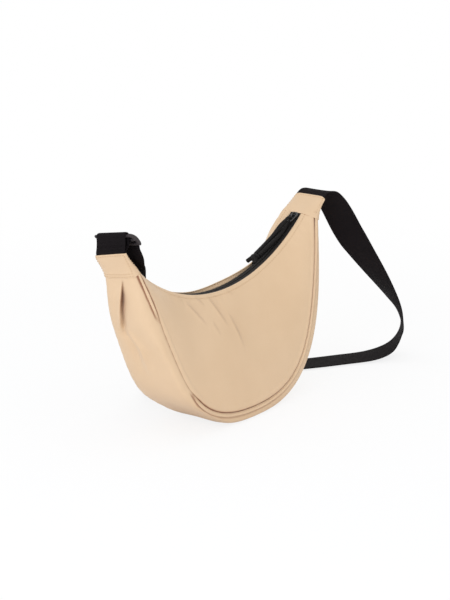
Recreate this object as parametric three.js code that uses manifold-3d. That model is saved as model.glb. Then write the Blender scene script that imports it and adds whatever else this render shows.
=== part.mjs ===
// Crescent crossbody bag. Two soft panels and a gusset make the shell, a curved zip closes its hollow
// top, and a webbing strap runs from the right tab to an adjuster on the left one.
// Millimetres. +X runs to the right end, -Y is the front and +Z is up. The origin is the middle of the
// flat base that the bag stands on.

import * as THREE from 'three';
import { mergeVertices } from 'three/addons/utils/BufferGeometryUtils.js';
import loadManifold from 'manifold-3d';

const wasm = await loadManifold();
wasm.setup();

const radians = THREE.MathUtils.degToRad;
const mix = THREE.MathUtils.lerp;
const vec = (x, y, z) => new THREE.Vector3(x, y, z);

// Cloth, webbing and the gap kept between neighbouring pieces
const GAP = 0.35;
const FABRIC = 1.2;
const LINING = 0.6;
const WEBBING = 1.4;
const WEBBING_WIDTH = 38;

// Zip line: an arc in the middle plane of the bag
const ZIP_RADIUS = 224;
const ZIP_LOW = 135;
const ZIP_HALF_ANGLE = radians(43);
const ZIP_MOUTH = 14;
const TAPE = 0.7;
const TAPE_DROP = 0.6;
const TAPE_SPLIT = 1.4;
const TAPE_TUCK = 6;
const COIL_WIDTH = 2.4;
const COIL_HEIGHT = 1.5;
const STOP_LENGTH = 2.5;

// Seam outline from the middle of the base to a horn, and the depth of the bag
const SEAM_BASE = 10;
const SEAM_BASE_REACH = 112;
const FLANK_REACH = 136;
const FLANK_LEAN = radians(20);
const HORN_DEPTH = 7.9;
const HORN_DEPTH_TILT = radians(-12);
const FRONT_DEPTH = 51.5;
const BACK_DEPTH = 39;
const HORN_HALF_WIDTH = 20;
const PIPING_RADIUS = 1.7;
const SHELL_ROWS = 40;

// How far the cloth swells
const PANEL_BULGE = 9;
const PANEL_BULGE_HORN = 1;
const GUSSET_BULGE_BASE = 14;
const GUSSET_BULGE_HORN = 6;

// Tabs: sleeves that close the horns and hold the webbing
const TAB_LENGTH_LEFT = 23;
const TAB_LENGTH_RIGHT = 21;
const TAB_RISE_LEFT = radians(45);
const TAB_RISE_RIGHT = radians(34);
const TAB_WALL = 0.8;
const TAB_LIFT = 0.9;
const TAB_EXIT_RIGHT = radians(38);
const TAB_EXIT_LEFT = radians(90);
const TAB_FLARE = 0.75;
const TAB_TOP_HALF_WIDTH = WEBBING_WIDTH / 2 + 3 * GAP + TAB_WALL;
const TAB_BASE_HALF_WIDTH = TAB_TOP_HALF_WIDTH + TAB_FLARE;
const PLY_SPACING = WEBBING + GAP;
const LEFT_ROLL = radians(-12);

// Slider, bail and pull
const SLIDER_ANGLE = radians(40.2);
const SLIDER_LENGTH = 11;
const SLIDER_WIDTH = 9.2;
const SLIDER_TAIL_WIDTH = 6.6;
const SLIDER_CORNER = 1;
const SLIDER_PLATE = 1.6;
const POST_WIDTH = 0.7;
const POST_LENGTH = 3;
const BRIDGE_WIDTH = 3;
const BRIDGE_SPAN = 5;
const BRIDGE_WALL = 1.2;
const BAIL_WIRE = 0.65;
const BAIL_LENGTH = 11;
const BAIL_HALF_WIDTH = 4.2;
const BAIL_CORNER = 1.6;
const BAIL_LIFT = radians(16);
const PULL_DIP = radians(-6);
const PULL_YAW = radians(-8.5);
const PULL_CORD_RADIUS = 2.1;
const PULL_RUN = 57;
const PULL_SPREAD = 2.6;
const KNOT_RADII = vec(4.6, 4.7, 3.4);
const TAIL_LENGTH = 12;
const TAIL_SPLAY = radians(20);

// Adjuster: three bars across a frame, hung in the anchor loop
const BAR_WIDTH = 3.6;
const BAR_PITCH = 8.5;
const FRAME_THICKNESS = 3;
const FRAME_SIDE = 3.6;
const FRAME_CORNER = 3;
const FRAME_PLAY = 1.1;
const ADJUSTER_TILT = radians(39);
const LOOP_ROLL = radians(-10);
const LOOP_LEAN = 6.5;
const LOOP_RISE = 16.5;
const LOOP_TUCK = 4;
const LOOP_STAND = 1.5;
const THREADED_RUN = 2;
const TAIL_RUN = 1.5;

// Strap route from inside the right tab, down to the floor, behind the bag and up to the adjuster.
// Each row is a point of the centreline and a direction across the webbing.
const STRAP_ROUTE = [
  [170.9, 0, 201.4, 0, 1, 0],
  [177.1, 0, 206.4, 0, 1, 0],
  [187.4, 0, 210, 0, 1, 0],
  [198.6, -2, 207.3, -0.05, 1, 0],
  [206.8, -6, 198, -0.12, 1, 0],
  [214, -12, 183, -0.18, 1, 0],
  [223, -22, 158, -0.2, 0.98, 0],
  [232, -33, 136, -0.1, 0.98, 0],
  [248, -46, 106, 0.15, 0.97, 0],
  [267, -56, 74, 0.5, 0.85, 0],
  [278, -60, 52, 0.76, 0.65, 0],
  [284, -59, 35, 0.82, 0.57, 0],
  [282, -54, 19.5, 0.8, 0.6, 0],
  [273, -46, 8.8, 0.72, 0.69, 0],
  [254, -33, 3, 0.62, 0.78, 0],
  [225, -12, 1.5, 0.54, 0.84, 0],
  [190, 10, 1.5, 0.5, 0.87, 0],
  [155, 37, 1.5, 0.58, 0.8, 0],
  [126, 69, 1.5, 0.68, 0.73, 0],
  [98, 96, 1.5, 0.45, 0.9, 0],
  [62, 107, 1.5, 0.05, 1, 0],
  [30, 100, 6, -0.25, 0.95, -0.2],
  [3, 84, 21, -0.4, 0.7, -0.55],
  [-23, 69, 46, -0.65, 0.4, -0.6],
  [-48, 57, 76, -0.8, 0.25, -0.5],
  [-74, 47, 107, -0.85, 0.25, -0.5],
  [-98, 37, 139, -0.8, 0.4, -0.4],
  [-118, 26, 166.5, -0.6, 0.7, -0.3],
  [-133.5, 14, 185.5, -0.3, 0.9, -0.1],
  [-144.8, 4, 197, -0.05, 1, -0.06],
  [-150.6, -0.8, 205.2, 0, 1, -0.1],
  [-153, -0.1, 210.35, 0, 1, -0.19],
  [-153.1, 0.5, 213.7, 0, 1, -0.1763],
];

// Closed body from corner points and triangles, turned so that its faces point out
function body(points, triangles) {
  let volume = 0;
  for (const [a, b, c] of triangles) {
    volume += points[a].dot(points[b].clone().cross(points[c]));
  }
  const index = volume < 0 ? triangles.map(([a, b, c]) => [a, c, b]) : triangles;
  const geometry = new THREE.BufferGeometry().setFromPoints(points);
  geometry.setIndex(index.flat());
  geometry.computeVertexNormals();
  return geometry;
}

// Cloth body between an outer and an inner grid of points, closed by four rims
function sheetBody(outer, inner) {
  const rows = outer.length;
  const columns = outer[0].length;
  const a = (i, j) => i * columns + j;
  const b = (i, j) => rows * columns + a(i, j);
  const triangles = [];
  for (let i = 0; i < rows - 1; i++) {
    for (let j = 0; j < columns - 1; j++) {
      triangles.push([a(i, j), a(i + 1, j), a(i + 1, j + 1)], [a(i, j), a(i + 1, j + 1), a(i, j + 1)]);
      triangles.push([b(i, j), b(i + 1, j + 1), b(i + 1, j)], [b(i, j), b(i, j + 1), b(i + 1, j + 1)]);
    }
  }
  const last = columns - 1;
  for (let i = 0; i < rows - 1; i++) {
    triangles.push([a(i + 1, 0), a(i, 0), b(i, 0)], [a(i + 1, 0), b(i, 0), b(i + 1, 0)]);
    triangles.push([a(i, last), a(i + 1, last), b(i + 1, last)], [a(i, last), b(i + 1, last), b(i, last)]);
  }
  const end = rows - 1;
  for (let j = 0; j < columns - 1; j++) {
    triangles.push([a(0, j), a(0, j + 1), b(0, j + 1)], [a(0, j), b(0, j + 1), b(0, j)]);
    triangles.push([a(end, j + 1), a(end, j), b(end, j)], [a(end, j + 1), b(end, j), b(end, j + 1)]);
  }
  return body([...outer.flat(), ...inner.flat()], triangles);
}

// Side faces between neighbouring rings of corner numbers
function ringFaces(ringA, ringB) {
  return ringA.flatMap((corner, j) => {
    const next = (j + 1) % ringA.length;
    return [[corner, ringA[next], ringB[next]], [corner, ringB[next], ringB[j]]];
  });
}

// Corner numbers of each ring in a list of rings laid one after another
function ringNumbers(rings, first = 0) {
  return rings.map((ring, i) => ring.map((_, j) => first + i * ring.length + j));
}

// Body carried through a row of convex rings, with flat ends, or closed on itself
function loftBody(rings, closed = false) {
  const numbers = ringNumbers(rings);
  const triangles = [];
  for (let i = 0; i < rings.length - 1; i++) {
    triangles.push(...ringFaces(numbers[i], numbers[i + 1]));
  }
  if (closed) {
    triangles.push(...ringFaces(numbers.at(-1), numbers[0]));
  } else {
    const [start, finish] = [numbers[0], numbers.at(-1)];
    for (let j = 1; j < start.length - 1; j++) {
      triangles.push([start[0], start[j + 1], start[j]], [finish[0], finish[j], finish[j + 1]]);
    }
  }
  return body(rings.flat(), triangles);
}

// Open-ended sleeve between outer rings and matching inner rings
function sleeveBody(outer, inner) {
  const outside = ringNumbers(outer);
  const inside = ringNumbers(inner, outer.flat().length);
  const triangles = [];
  for (let i = 0; i < outer.length - 1; i++) {
    triangles.push(...ringFaces(outside[i], outside[i + 1]));
    triangles.push(...ringFaces(inside[i + 1], inside[i]));
  }
  triangles.push(...ringFaces(inside[0], outside[0]));
  triangles.push(...ringFaces(outside.at(-1), inside.at(-1)));
  return body([...outer.flat(), ...inner.flat()], triangles);
}

// Ring of points round a centre in the plane of two axes
function circleRing(centre, axisA, axisB, radius, sides) {
  return Array.from({ length: sides }, (_, k) => {
    const angle = (2 * Math.PI * k) / sides;
    return centre.clone()
      .addScaledVector(axisA, radius * Math.cos(angle))
      .addScaledVector(axisB, radius * Math.sin(angle));
  });
}

// Round cord along sampled points, each ring square to the run and turned as little as it can be
function cordBody(points, radius, sides, closed = false) {
  const count = points.length;
  const at = (i) => (closed ? points[(i + count) % count] : points[Math.min(Math.max(i, 0), count - 1)]);
  let side = null;
  const rings = points.map((point, i) => {
    const run = at(i + 1).clone().sub(at(i - 1)).normalize();
    const seed = side ?? (Math.abs(run.y) < 0.9 ? vec(0, 1, 0) : vec(1, 0, 0));
    side = seed.clone().addScaledVector(run, -seed.dot(run)).normalize();
    return circleRing(point, side, run.clone().cross(side), radius, sides);
  });
  return loftBody(rings, closed);
}

// Flat webbing bent along a line of (x, z) points, its width across Y
function bentWebbing(line) {
  const offsets = line.map((point, i) => {
    const before = line[Math.max(i - 1, 0)];
    const after = line[Math.min(i + 1, line.length - 1)];
    const run = after.clone().sub(before).normalize();
    return new THREE.Vector2(-run.y, run.x).multiplyScalar(WEBBING / 2);
  });
  const near = line.map((point, i) => point.clone().add(offsets[i]));
  const far = line.map((point, i) => point.clone().sub(offsets[i]));
  const outline = new THREE.Shape([...near, ...far.reverse()]);
  const geometry = new THREE.ExtrudeGeometry(outline, { depth: WEBBING_WIDTH, bevelEnabled: false });
  return geometry.rotateX(Math.PI / 2).translate(0, WEBBING_WIDTH / 2, 0);
}

// Points of an arc, from one angle to another, in the plane of the webbing line
function arcPoints(x, z, radius, from, to, steps) {
  return Array.from({ length: steps + 1 }, (_, k) => {
    const angle = mix(from, to, k / steps);
    return new THREE.Vector2(x + radius * Math.cos(angle), z + radius * Math.sin(angle));
  });
}

function solid(geometry) {
  const bare = geometry.clone();
  bare.deleteAttribute('normal');
  bare.deleteAttribute('uv');
  const merged = mergeVertices(bare, 1e-4);
  const vertProperties = new Float32Array(merged.attributes.position.array);
  const triVerts = new Uint32Array(merged.index.array);
  return new wasm.Manifold(new wasm.Mesh({ numProp: 3, vertProperties, triVerts }));
}

function geometryOf(manifold) {
  const mesh = manifold.getMesh();
  const geometry = new THREE.BufferGeometry();
  geometry.setAttribute('position', new THREE.BufferAttribute(mesh.vertProperties, 3));
  geometry.setIndex(new THREE.BufferAttribute(mesh.triVerts, 1));
  geometry.computeVertexNormals();
  return geometry;
}

function fuse(geometries) {
  return geometryOf(geometries.map(solid).reduce((whole, piece) => whole.add(piece)));
}

const bag = new THREE.Group();

const COLOURS = {
  fabric: [0xdcbf9b, 0.62, 0],
  lining: [0xb59f80, 0.7, 0],
  webbing: [0x1d1819, 0.8, 0],
  tape: [0x17140f, 0.85, 0],
  slider: [0x111112, 0.28, 0.6],
  plastic: [0x2b2829, 0.45, 0],
};

function addPiece(group, name, geometry, finish) {
  const [color, roughness, metalness] = COLOURS[finish];
  const mesh = new THREE.Mesh(geometry, new THREE.MeshStandardMaterial({ color, roughness, metalness }));
  mesh.name = name;
  group.add(mesh);
}

// Zip line: a point at an angle along the arc, y across it, and a drop into the bag
const ZIP_CENTRE_Z = ZIP_LOW + ZIP_RADIUS;

function zipPoint(angle, y, drop) {
  const radius = ZIP_RADIUS + drop;
  return vec(radius * Math.sin(angle), y, ZIP_CENTRE_Z - radius * Math.cos(angle));
}

// Seam outline: u runs from -1 at the left horn to 1 at the right one
const zipEnd = zipPoint(ZIP_HALF_ANGLE, 0, 0);
const hornEnd = new THREE.Vector2(
  zipEnd.x + HORN_DEPTH * Math.cos(HORN_DEPTH_TILT),
  zipEnd.z + HORN_DEPTH * Math.sin(HORN_DEPTH_TILT),
);
const seamHalf = new THREE.CubicBezierCurve(
  new THREE.Vector2(0, SEAM_BASE),
  new THREE.Vector2(SEAM_BASE_REACH, SEAM_BASE),
  new THREE.Vector2(
    hornEnd.x - FLANK_REACH * Math.sin(FLANK_LEAN),
    hornEnd.y - FLANK_REACH * Math.cos(FLANK_LEAN),
  ),
  hornEnd,
);

function seamOutline(u) {
  const along = Math.min(Math.abs(u), 1);
  const mirror = u < 0 ? -1 : 1;
  const point = seamHalf.getPointAt(along);
  const run = seamHalf.getTangentAt(along);
  return { x: mirror * point.x, z: point.y, outward: vec(mirror * run.y, 0, -run.x) };
}

// Distance of the front (side -1) or back (side 1) seam from the middle plane
function seamDepth(u, side) {
  return mix(side < 0 ? FRONT_DEPTH : BACK_DEPTH, HORN_HALF_WIDTH, u * u);
}

function seamPoint(u, side) {
  const { x, z } = seamOutline(u);
  return vec(x, side * seamDepth(u, side), z);
}

// Panel cloth: v runs from the zip lip to the seam, depth goes into the bag from the outer face
function panelFrame(u, side) {
  const lip = zipPoint(u * ZIP_HALF_ANGLE, (side * ZIP_MOUTH) / 2, 0);
  const seam = seamPoint(u, side);
  return { lip, seam, fall: seam.clone().sub(lip) };
}

function panelNormal(u, side) {
  const step = 0.01;
  const middle = (w) => {
    const { lip, seam } = panelFrame(w, side);
    return lip.add(seam);
  };
  const along = middle(Math.min(u + step, 1)).sub(middle(Math.max(u - step, -1)));
  const normal = panelFrame(u, side).fall.cross(along).normalize();
  return normal.y * side < 0 ? normal.negate() : normal;
}

function panelPoint(u, v, side, depth) {
  const { lip, fall } = panelFrame(u, side);
  const bulge = mix(PANEL_BULGE, PANEL_BULGE_HORN, u * u) * 4 * v * (1 - v);
  return lip.addScaledVector(fall, v).addScaledVector(panelNormal(u, side), bulge - depth);
}

// Gusset cloth: v runs from the front seam to the back seam, and the floor presses the base flat
function gussetPoint(u, v, depth) {
  const { x, z, outward } = seamOutline(u);
  const swell = mix(GUSSET_BULGE_HORN, GUSSET_BULGE_BASE, (1 - Math.abs(u)) ** 2) * 4 * v * (1 - v);
  const y = mix(-seamDepth(u, -1), seamDepth(u, 1), v);
  const point = vec(x, y, z).addScaledVector(outward, swell - depth);
  point.z = Math.max(point.z, depth);
  return point;
}

// Grid of points for u and v between given ends; vEnds may change along u
function grid(rows, columns, uEnd, vEnds, place) {
  return Array.from({ length: rows + 1 }, (_, i) => {
    const u = mix(-uEnd, uEnd, i / rows);
    const [from, to] = vEnds(u);
    return Array.from({ length: columns + 1 }, (_, j) => place(u, mix(from, to, j / columns)));
  });
}

function clothBody(rows, columns, uEnd, vEnds, place, depth, thickness) {
  const outer = grid(rows, columns, uEnd, vEnds, (u, v) => place(u, v, depth));
  const inner = grid(rows, columns, uEnd, vEnds, (u, v) => place(u, v, depth + thickness));
  return sheetBody(outer, inner);
}

// The panels and the gusset stop short of the piping, and the lining stops short of the seam corner
const SEAM_TRIM = PIPING_RADIUS + GAP;
const LINING_TRIM = 5;
const TUCK_DEPTH = FABRIC + 2 * GAP;
const LINING_DEPTH = TUCK_DEPTH + TAPE + GAP;
const LINING_ROWS = 0.8 * SHELL_ROWS;
const LINING_END = LINING_ROWS / SHELL_ROWS;
const panelEnds = (side, lipTrim, seamTrim) => (u) => {
  const { fall } = panelFrame(u, side);
  const step = 1 / SHELL_ROWS;
  const run = seamPoint(u + step, side).sub(seamPoint(u - step, side)).normalize();
  return [lipTrim / fall.length(), 1 - seamTrim / run.cross(fall).length()];
};
const gussetEnds = (trim) => (u) => {
  const share = trim / (seamDepth(u, -1) + seamDepth(u, 1));
  return [share, 1 - share];
};

function addShell() {
  for (const [name, side] of [['front', -1], ['back', 1]]) {
    const place = (u, v, depth) => panelPoint(u, v, side, depth);
    const panel = clothBody(SHELL_ROWS, 5, 1, panelEnds(side, 0, SEAM_TRIM), place, 0, FABRIC);
    addPiece(bag, `${name}_panel`, panel, 'fabric');
    const liningEnds = panelEnds(side, LINING_TRIM, LINING_TRIM);
    const lining = clothBody(LINING_ROWS, 4, LINING_END, liningEnds, place, LINING_DEPTH, LINING);
    addPiece(bag, `${name}_lining`, lining, 'lining');
    const run = Array.from({ length: SHELL_ROWS - 1 }, (_, i) => (
      seamPoint(mix(-1, 1, (i + 1) / SHELL_ROWS), side)
    ));
    addPiece(bag, `${name}_piping`, cordBody(run, PIPING_RADIUS, 6), 'fabric');
  }
  const gusset = clothBody(SHELL_ROWS, 7, 1, gussetEnds(SEAM_TRIM), gussetPoint, 0, FABRIC);
  addPiece(bag, 'gusset', gusset, 'fabric');
  const liningEnds = gussetEnds(LINING_TRIM);
  const lining = clothBody(LINING_ROWS, 7, LINING_END, liningEnds, gussetPoint, FABRIC + 2 * GAP, LINING);
  addPiece(bag, 'gusset_lining', lining, 'lining');
}

// One half of the zip tape: flat to the panel's lip, then folded down inside the panel
function tapeGrid(side, depth) {
  const steps = SHELL_ROWS;
  const splitEdge = (side * TAPE_SPLIT) / 2;
  return Array.from({ length: steps + 1 }, (_, i) => {
    const u = mix(-1, 1, i / steps);
    const angle = u * ZIP_HALF_ANGLE;
    const tuck = TAPE_TUCK / panelFrame(u, side).fall.length();
    const hidden = TUCK_DEPTH + depth;
    const down = zipPoint(angle, 0, depth).sub(zipPoint(angle, 0, 0));
    const fold = panelPoint(u, 0, side, TUCK_DEPTH).add(down);
    return [
      zipPoint(angle, splitEdge, TAPE_DROP + depth),
      fold.addScaledVector(panelNormal(u, side), -depth / 2),
      panelPoint(u, tuck / 2, side, hidden),
      panelPoint(u, tuck, side, hidden),
    ];
  });
}

const COIL_DROP = TAPE_DROP + TAPE + 2.5 * GAP;
const STOP_ANGLE = STOP_LENGTH / ZIP_RADIUS;
const COIL_END = ZIP_HALF_ANGLE - STOP_ANGLE - (2 * GAP) / ZIP_RADIUS;

// Box ring across the zip between two y values, from the coil's top to its underside
function coilRing(angle, near, far) {
  const deep = COIL_DROP + COIL_HEIGHT;
  return [
    zipPoint(angle, near, COIL_DROP),
    zipPoint(angle, far, COIL_DROP),
    zipPoint(angle, far, deep),
    zipPoint(angle, near, deep),
  ];
}

function addZip() {
  const steps = 32;
  const coilFar = TAPE_SPLIT / 2 + COIL_WIDTH;
  for (const [name, side] of [['front', -1], ['back', 1]]) {
    addPiece(bag, `zip_tape_${name}`, sheetBody(tapeGrid(side, 0), tapeGrid(side, TAPE)), 'tape');
    const rings = Array.from({ length: steps + 1 }, (_, i) => {
      const angle = mix(-COIL_END, COIL_END, i / steps);
      return coilRing(angle, (side * TAPE_SPLIT) / 2, side * coilFar);
    });
    addPiece(bag, `zip_coil_${name}`, loftBody(rings), 'tape');
  }
  for (const [name, hand] of [['left', -1], ['right', 1]]) {
    const from = hand * (ZIP_HALF_ANGLE - STOP_ANGLE - GAP / ZIP_RADIUS);
    const to = hand * (ZIP_HALF_ANGLE - GAP / ZIP_RADIUS);
    const rings = [coilRing(from, -coilFar, coilFar), coilRing(to, -coilFar, coilFar)];
    addPiece(bag, `zip_stop_${name}`, loftBody(rings), 'slider');
  }
}

// Slider: two plates joined by a thin post between the tapes, with an arched bridge for the bail
const PLATE_LOW = -TAPE_DROP + GAP;
const PLATE_TOP = PLATE_LOW + SLIDER_PLATE;
const UNDER_TOP = -(COIL_DROP + COIL_HEIGHT) - GAP;
const BAIL_PIVOT_Z = PLATE_TOP + BAIL_WIRE + GAP;

function sliderPlate(low) {
  const [half, wide, tail] = [SLIDER_LENGTH / 2, SLIDER_WIDTH / 2, SLIDER_TAIL_WIDTH / 2];
  const shoulder = 0.3 * half;
  const nose = 0.45 * wide;
  const outline = new THREE.Shape();
  outline.moveTo(-half, -tail + SLIDER_CORNER);
  outline.quadraticCurveTo(-half, -tail, -half + SLIDER_CORNER, -tail);
  outline.quadraticCurveTo(0, -tail, shoulder, -wide);
  outline.quadraticCurveTo(half, -wide, half, -nose);
  outline.lineTo(half, nose);
  outline.quadraticCurveTo(half, wide, shoulder, wide);
  outline.quadraticCurveTo(0, tail, -half + SLIDER_CORNER, tail);
  outline.quadraticCurveTo(-half, tail, -half, tail - SLIDER_CORNER);
  const options = { depth: SLIDER_PLATE, bevelEnabled: false, curveSegments: 4 };
  return new THREE.ExtrudeGeometry(outline, options).translate(0, 0, low);
}

function sliderBridge() {
  const foot = PLATE_TOP - GAP;
  const clear = [BRIDGE_SPAN / 2, BAIL_PIVOT_Z + 2 * BAIL_WIRE + GAP - foot];
  const arch = new THREE.Shape();
  arch.absellipse(0, foot, clear[0] + BRIDGE_WALL, clear[1] + BRIDGE_WALL, 0, Math.PI, false);
  arch.absellipse(0, foot, clear[0], clear[1], Math.PI, 0, true);
  const options = { depth: BRIDGE_WIDTH, bevelEnabled: false, curveSegments: 8 };
  return new THREE.ExtrudeGeometry(arch, options).rotateX(Math.PI / 2).translate(0, BRIDGE_WIDTH / 2, 0);
}

function addSlider() {
  const rise = PLATE_TOP - UNDER_TOP;
  const post = new THREE.BoxGeometry(POST_LENGTH, POST_WIDTH, rise);
  post.translate(SLIDER_LENGTH / 4, 0, UNDER_TOP + rise / 2 - SLIDER_PLATE / 2);
  const slider = new THREE.Group();
  slider.position.copy(zipPoint(SLIDER_ANGLE, 0, 0));
  slider.rotation.y = -SLIDER_ANGLE;
  const plates = [sliderPlate(PLATE_LOW), sliderPlate(UNDER_TOP - SLIDER_PLATE)];
  addPiece(slider, 'zip_slider', fuse([...plates, post, sliderBridge()]), 'slider');
  bag.add(slider);
  return slider;
}

// Bail: a wire ring through the bridge, lying towards the open end of the zip
function addBail(slider) {
  const [far, wide] = [-BAIL_LENGTH, BAIL_HALF_WIDTH];
  const corners = [
    [0, -wide, 0], [far, -wide, -Math.PI / 2], [far, wide, -Math.PI], [0, wide, -1.5 * Math.PI],
  ];
  const line = corners.flatMap(([x, y, from]) => {
    const centre = [x - Math.sign(x - far / 2) * BAIL_CORNER, y - Math.sign(y) * BAIL_CORNER];
    return arcPoints(centre[0], centre[1], BAIL_CORNER, from, from - Math.PI / 2, 4);
  });
  const bail = new THREE.Group();
  bail.position.set(0, 0, BAIL_PIVOT_Z);
  bail.rotation.y = BAIL_LIFT;
  const wire = cordBody(line.map((point) => vec(point.x, point.y, 0)), BAIL_WIRE, 6, true);
  addPiece(bail, 'pull_bail', wire, 'slider');
  slider.add(bail);
  return bail;
}

// Pull: a doubled cord looped over the bail's far wire, ending in a knot with two tails
function addPull(bail) {
  const over = BAIL_WIRE + GAP + PULL_CORD_RADIUS;
  const upper = [
    vec(-PULL_RUN, PULL_SPREAD, 0),
    vec(-0.7 * PULL_RUN, PULL_SPREAD, 0.1),
    vec(-0.45 * PULL_RUN, PULL_SPREAD, 0.6),
    vec(-0.22 * PULL_RUN, 0.6 * PULL_SPREAD, 0.65 * over),
    vec(-PULL_CORD_RADIUS, 0.1, over),
    vec(0.75 * over, 0, 0.85 * over),
  ];
  const lower = upper.map((point) => vec(point.x, -point.y, -point.z)).reverse();
  const line = new THREE.CatmullRomCurve3([...upper, vec(1.3 * over, 0, 0), ...lower]);
  const pull = new THREE.Group();
  pull.position.set(-BAIL_LENGTH, 0, 0);
  pull.rotation.set(0, PULL_DIP, PULL_YAW);
  addPiece(pull, 'pull_cord', cordBody(line.getPoints(40), PULL_CORD_RADIUS, 8), 'webbing');

  const centre = -PULL_RUN - GAP - KNOT_RADII.x;
  const knot = new THREE.SphereGeometry(1, 12, 8).scale(KNOT_RADII.x, KNOT_RADII.y, KNOT_RADII.z);
  const tails = [-1, 1].map((hand) => {
    const tail = new THREE.CylinderGeometry(PULL_CORD_RADIUS, PULL_CORD_RADIUS, TAIL_LENGTH, 8);
    tail.rotateZ(Math.PI / 2).translate(-TAIL_LENGTH / 2, 0, 0).rotateZ(hand * TAIL_SPLAY);
    return tail.translate(0, -hand * PULL_CORD_RADIUS, 0);
  });
  addPiece(pull, 'pull_knot', fuse([knot, ...tails]).translate(centre, 0, 0), 'webbing');
  bail.add(pull);
}

// Tabs: tapering sleeves from a horn's end to the webbing's exit
function tabSection({ hand, length, rise, exitAngle, roll, plies }, along) {
  const gussetEnd = gussetPoint(hand, 0.5, 0);
  const inside = vec(hand * zipEnd.x, 0, zipEnd.z);
  const across = gussetEnd.clone().sub(inside);
  const baseAngle = Math.atan2(across.z, hand * across.x);
  const lift = vec(-hand * Math.sin(baseAngle), 0, Math.cos(baseAngle)).multiplyScalar(TAB_LIFT);
  const base = inside.clone().add(gussetEnd).multiplyScalar(0.5).add(lift);
  const run = vec(hand * Math.cos(rise), 0, Math.sin(rise));
  const top = base.clone().addScaledVector(run, length);
  const bend = top.clone().addScaledVector(
    vec(hand * Math.cos(exitAngle), 0, Math.sin(exitAngle)), -length / 2,
  );
  const centre = new THREE.QuadraticBezierCurve3(base, bend, top).getPoint(along);
  const angle = mix(baseAngle, exitAngle - Math.PI / 2, along);
  const depthAxis = vec(hand * Math.cos(angle), 0, Math.sin(angle));
  const widthAxis = vec(0, Math.cos(roll * along), Math.sin(roll * along));
  const topHalfDepth = ((plies - 1) * PLY_SPACING + WEBBING) / 2 + 2 * GAP + TAB_WALL;
  const halfDepth = mix(across.length() / 2 + GAP, topHalfDepth, along);
  const halfWidth = mix(TAB_BASE_HALF_WIDTH, TAB_TOP_HALF_WIDTH, along);
  return { centre, depthAxis, widthAxis, halfDepth, halfWidth };
}

function tabRing({ centre, depthAxis, widthAxis, halfDepth, halfWidth }, wall) {
  const squareness = 0.2;
  const sides = 24;
  const soften = (value) => Math.sign(value) * Math.abs(value) ** squareness;
  return Array.from({ length: sides }, (_, k) => {
    const angle = (2 * Math.PI * (k + 0.5)) / sides;
    return centre.clone()
      .addScaledVector(widthAxis, (halfWidth - wall) * soften(Math.cos(angle)))
      .addScaledVector(depthAxis, (halfDepth - wall) * soften(Math.sin(angle)));
  });
}

const TABS = {
  left: {
    hand: -1, length: TAB_LENGTH_LEFT, rise: TAB_RISE_LEFT, exitAngle: TAB_EXIT_LEFT,
    roll: LEFT_ROLL, plies: 2,
  },
  right: {
    hand: 1, length: TAB_LENGTH_RIGHT, rise: TAB_RISE_RIGHT, exitAngle: TAB_EXIT_RIGHT,
    roll: 0, plies: 1,
  },
};

function addTabs() {
  for (const [name, tab] of Object.entries(TABS)) {
    const sections = [0, 0.25, 0.5, 0.75, 1].map((along) => tabSection(tab, along));
    const outer = sections.map((section) => tabRing(section, 0));
    const inner = sections.map((section) => tabRing(section, TAB_WALL));
    addPiece(bag, `${name}_tab`, sleeveBody(outer, inner), 'fabric');
  }
}

// Left fitting: the anchor loop in the left tab and the adjuster that swings in it
const BAR_REACH = Math.hypot(BAR_WIDTH / 2, FRAME_THICKNESS / 2);
const WRAP_RADIUS = BAR_REACH + WEBBING / 2 + GAP / 2;
const LOOP_RADIUS = BAR_REACH + GAP + WEBBING / 2;

function anchorLine() {
  const half = PLY_SPACING / 2;
  const tuckX = LOOP_TUCK / Math.tan(TAB_EXIT_LEFT);
  const rise = [0.36, 0.72].map((share) => share * LOOP_RISE);
  const up = [
    [tuckX - half, -LOOP_TUCK], [-half, LOOP_STAND],
    [LOOP_LEAN - 0.95 * LOOP_RADIUS, rise[0]], [LOOP_LEAN - LOOP_RADIUS, rise[1]],
  ];
  const down = [
    [LOOP_LEAN + 0.4 * LOOP_RADIUS, rise[1]], [LOOP_LEAN + 0.1 * LOOP_RADIUS, rise[0]],
    [half, LOOP_STAND], [tuckX + half, -LOOP_TUCK],
  ];
  const points = (list) => list.map(([x, z]) => new THREE.Vector2(x, z));
  const over = arcPoints(LOOP_LEAN, LOOP_RISE, LOOP_RADIUS, Math.PI, 0, 6);
  return new THREE.SplineCurve([...points(up), ...over, ...points(down)]).getPoints(42);
}

function adjusterFrame() {
  const low = -BAR_WIDTH / 2;
  const high = 2 * BAR_PITCH + BAR_WIDTH / 2;
  const inside = WEBBING_WIDTH / 2 + FRAME_PLAY;
  const outside = inside + FRAME_SIDE;
  const outline = new THREE.Shape();
  outline.moveTo(BAR_PITCH, -outside);
  outline.lineTo(high - FRAME_CORNER, -outside);
  outline.quadraticCurveTo(high, -outside, high, -outside + FRAME_CORNER);
  outline.lineTo(high, outside - FRAME_CORNER);
  outline.quadraticCurveTo(high, outside, high - FRAME_CORNER, outside);
  outline.lineTo(low + FRAME_CORNER, outside);
  outline.quadraticCurveTo(low, outside, low, outside - FRAME_CORNER);
  outline.lineTo(low, -outside + FRAME_CORNER);
  outline.quadraticCurveTo(low, -outside, low + FRAME_CORNER, -outside);
  const options = { depth: FRAME_THICKNESS, bevelEnabled: false, curveSegments: 4 };
  const plate = new THREE.ExtrudeGeometry(outline, options).translate(0, 0, -FRAME_THICKNESS / 2);
  const windows = [0.5, 1.5].map((pitches) => {
    const opening = new THREE.BoxGeometry(BAR_PITCH - BAR_WIDTH, 2 * inside, 2 * FRAME_THICKNESS);
    return solid(opening.translate(pitches * BAR_PITCH, 0, 0));
  });
  return geometryOf(windows.reduce((frame, opening) => frame.subtract(opening), solid(plate)));
}

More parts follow.
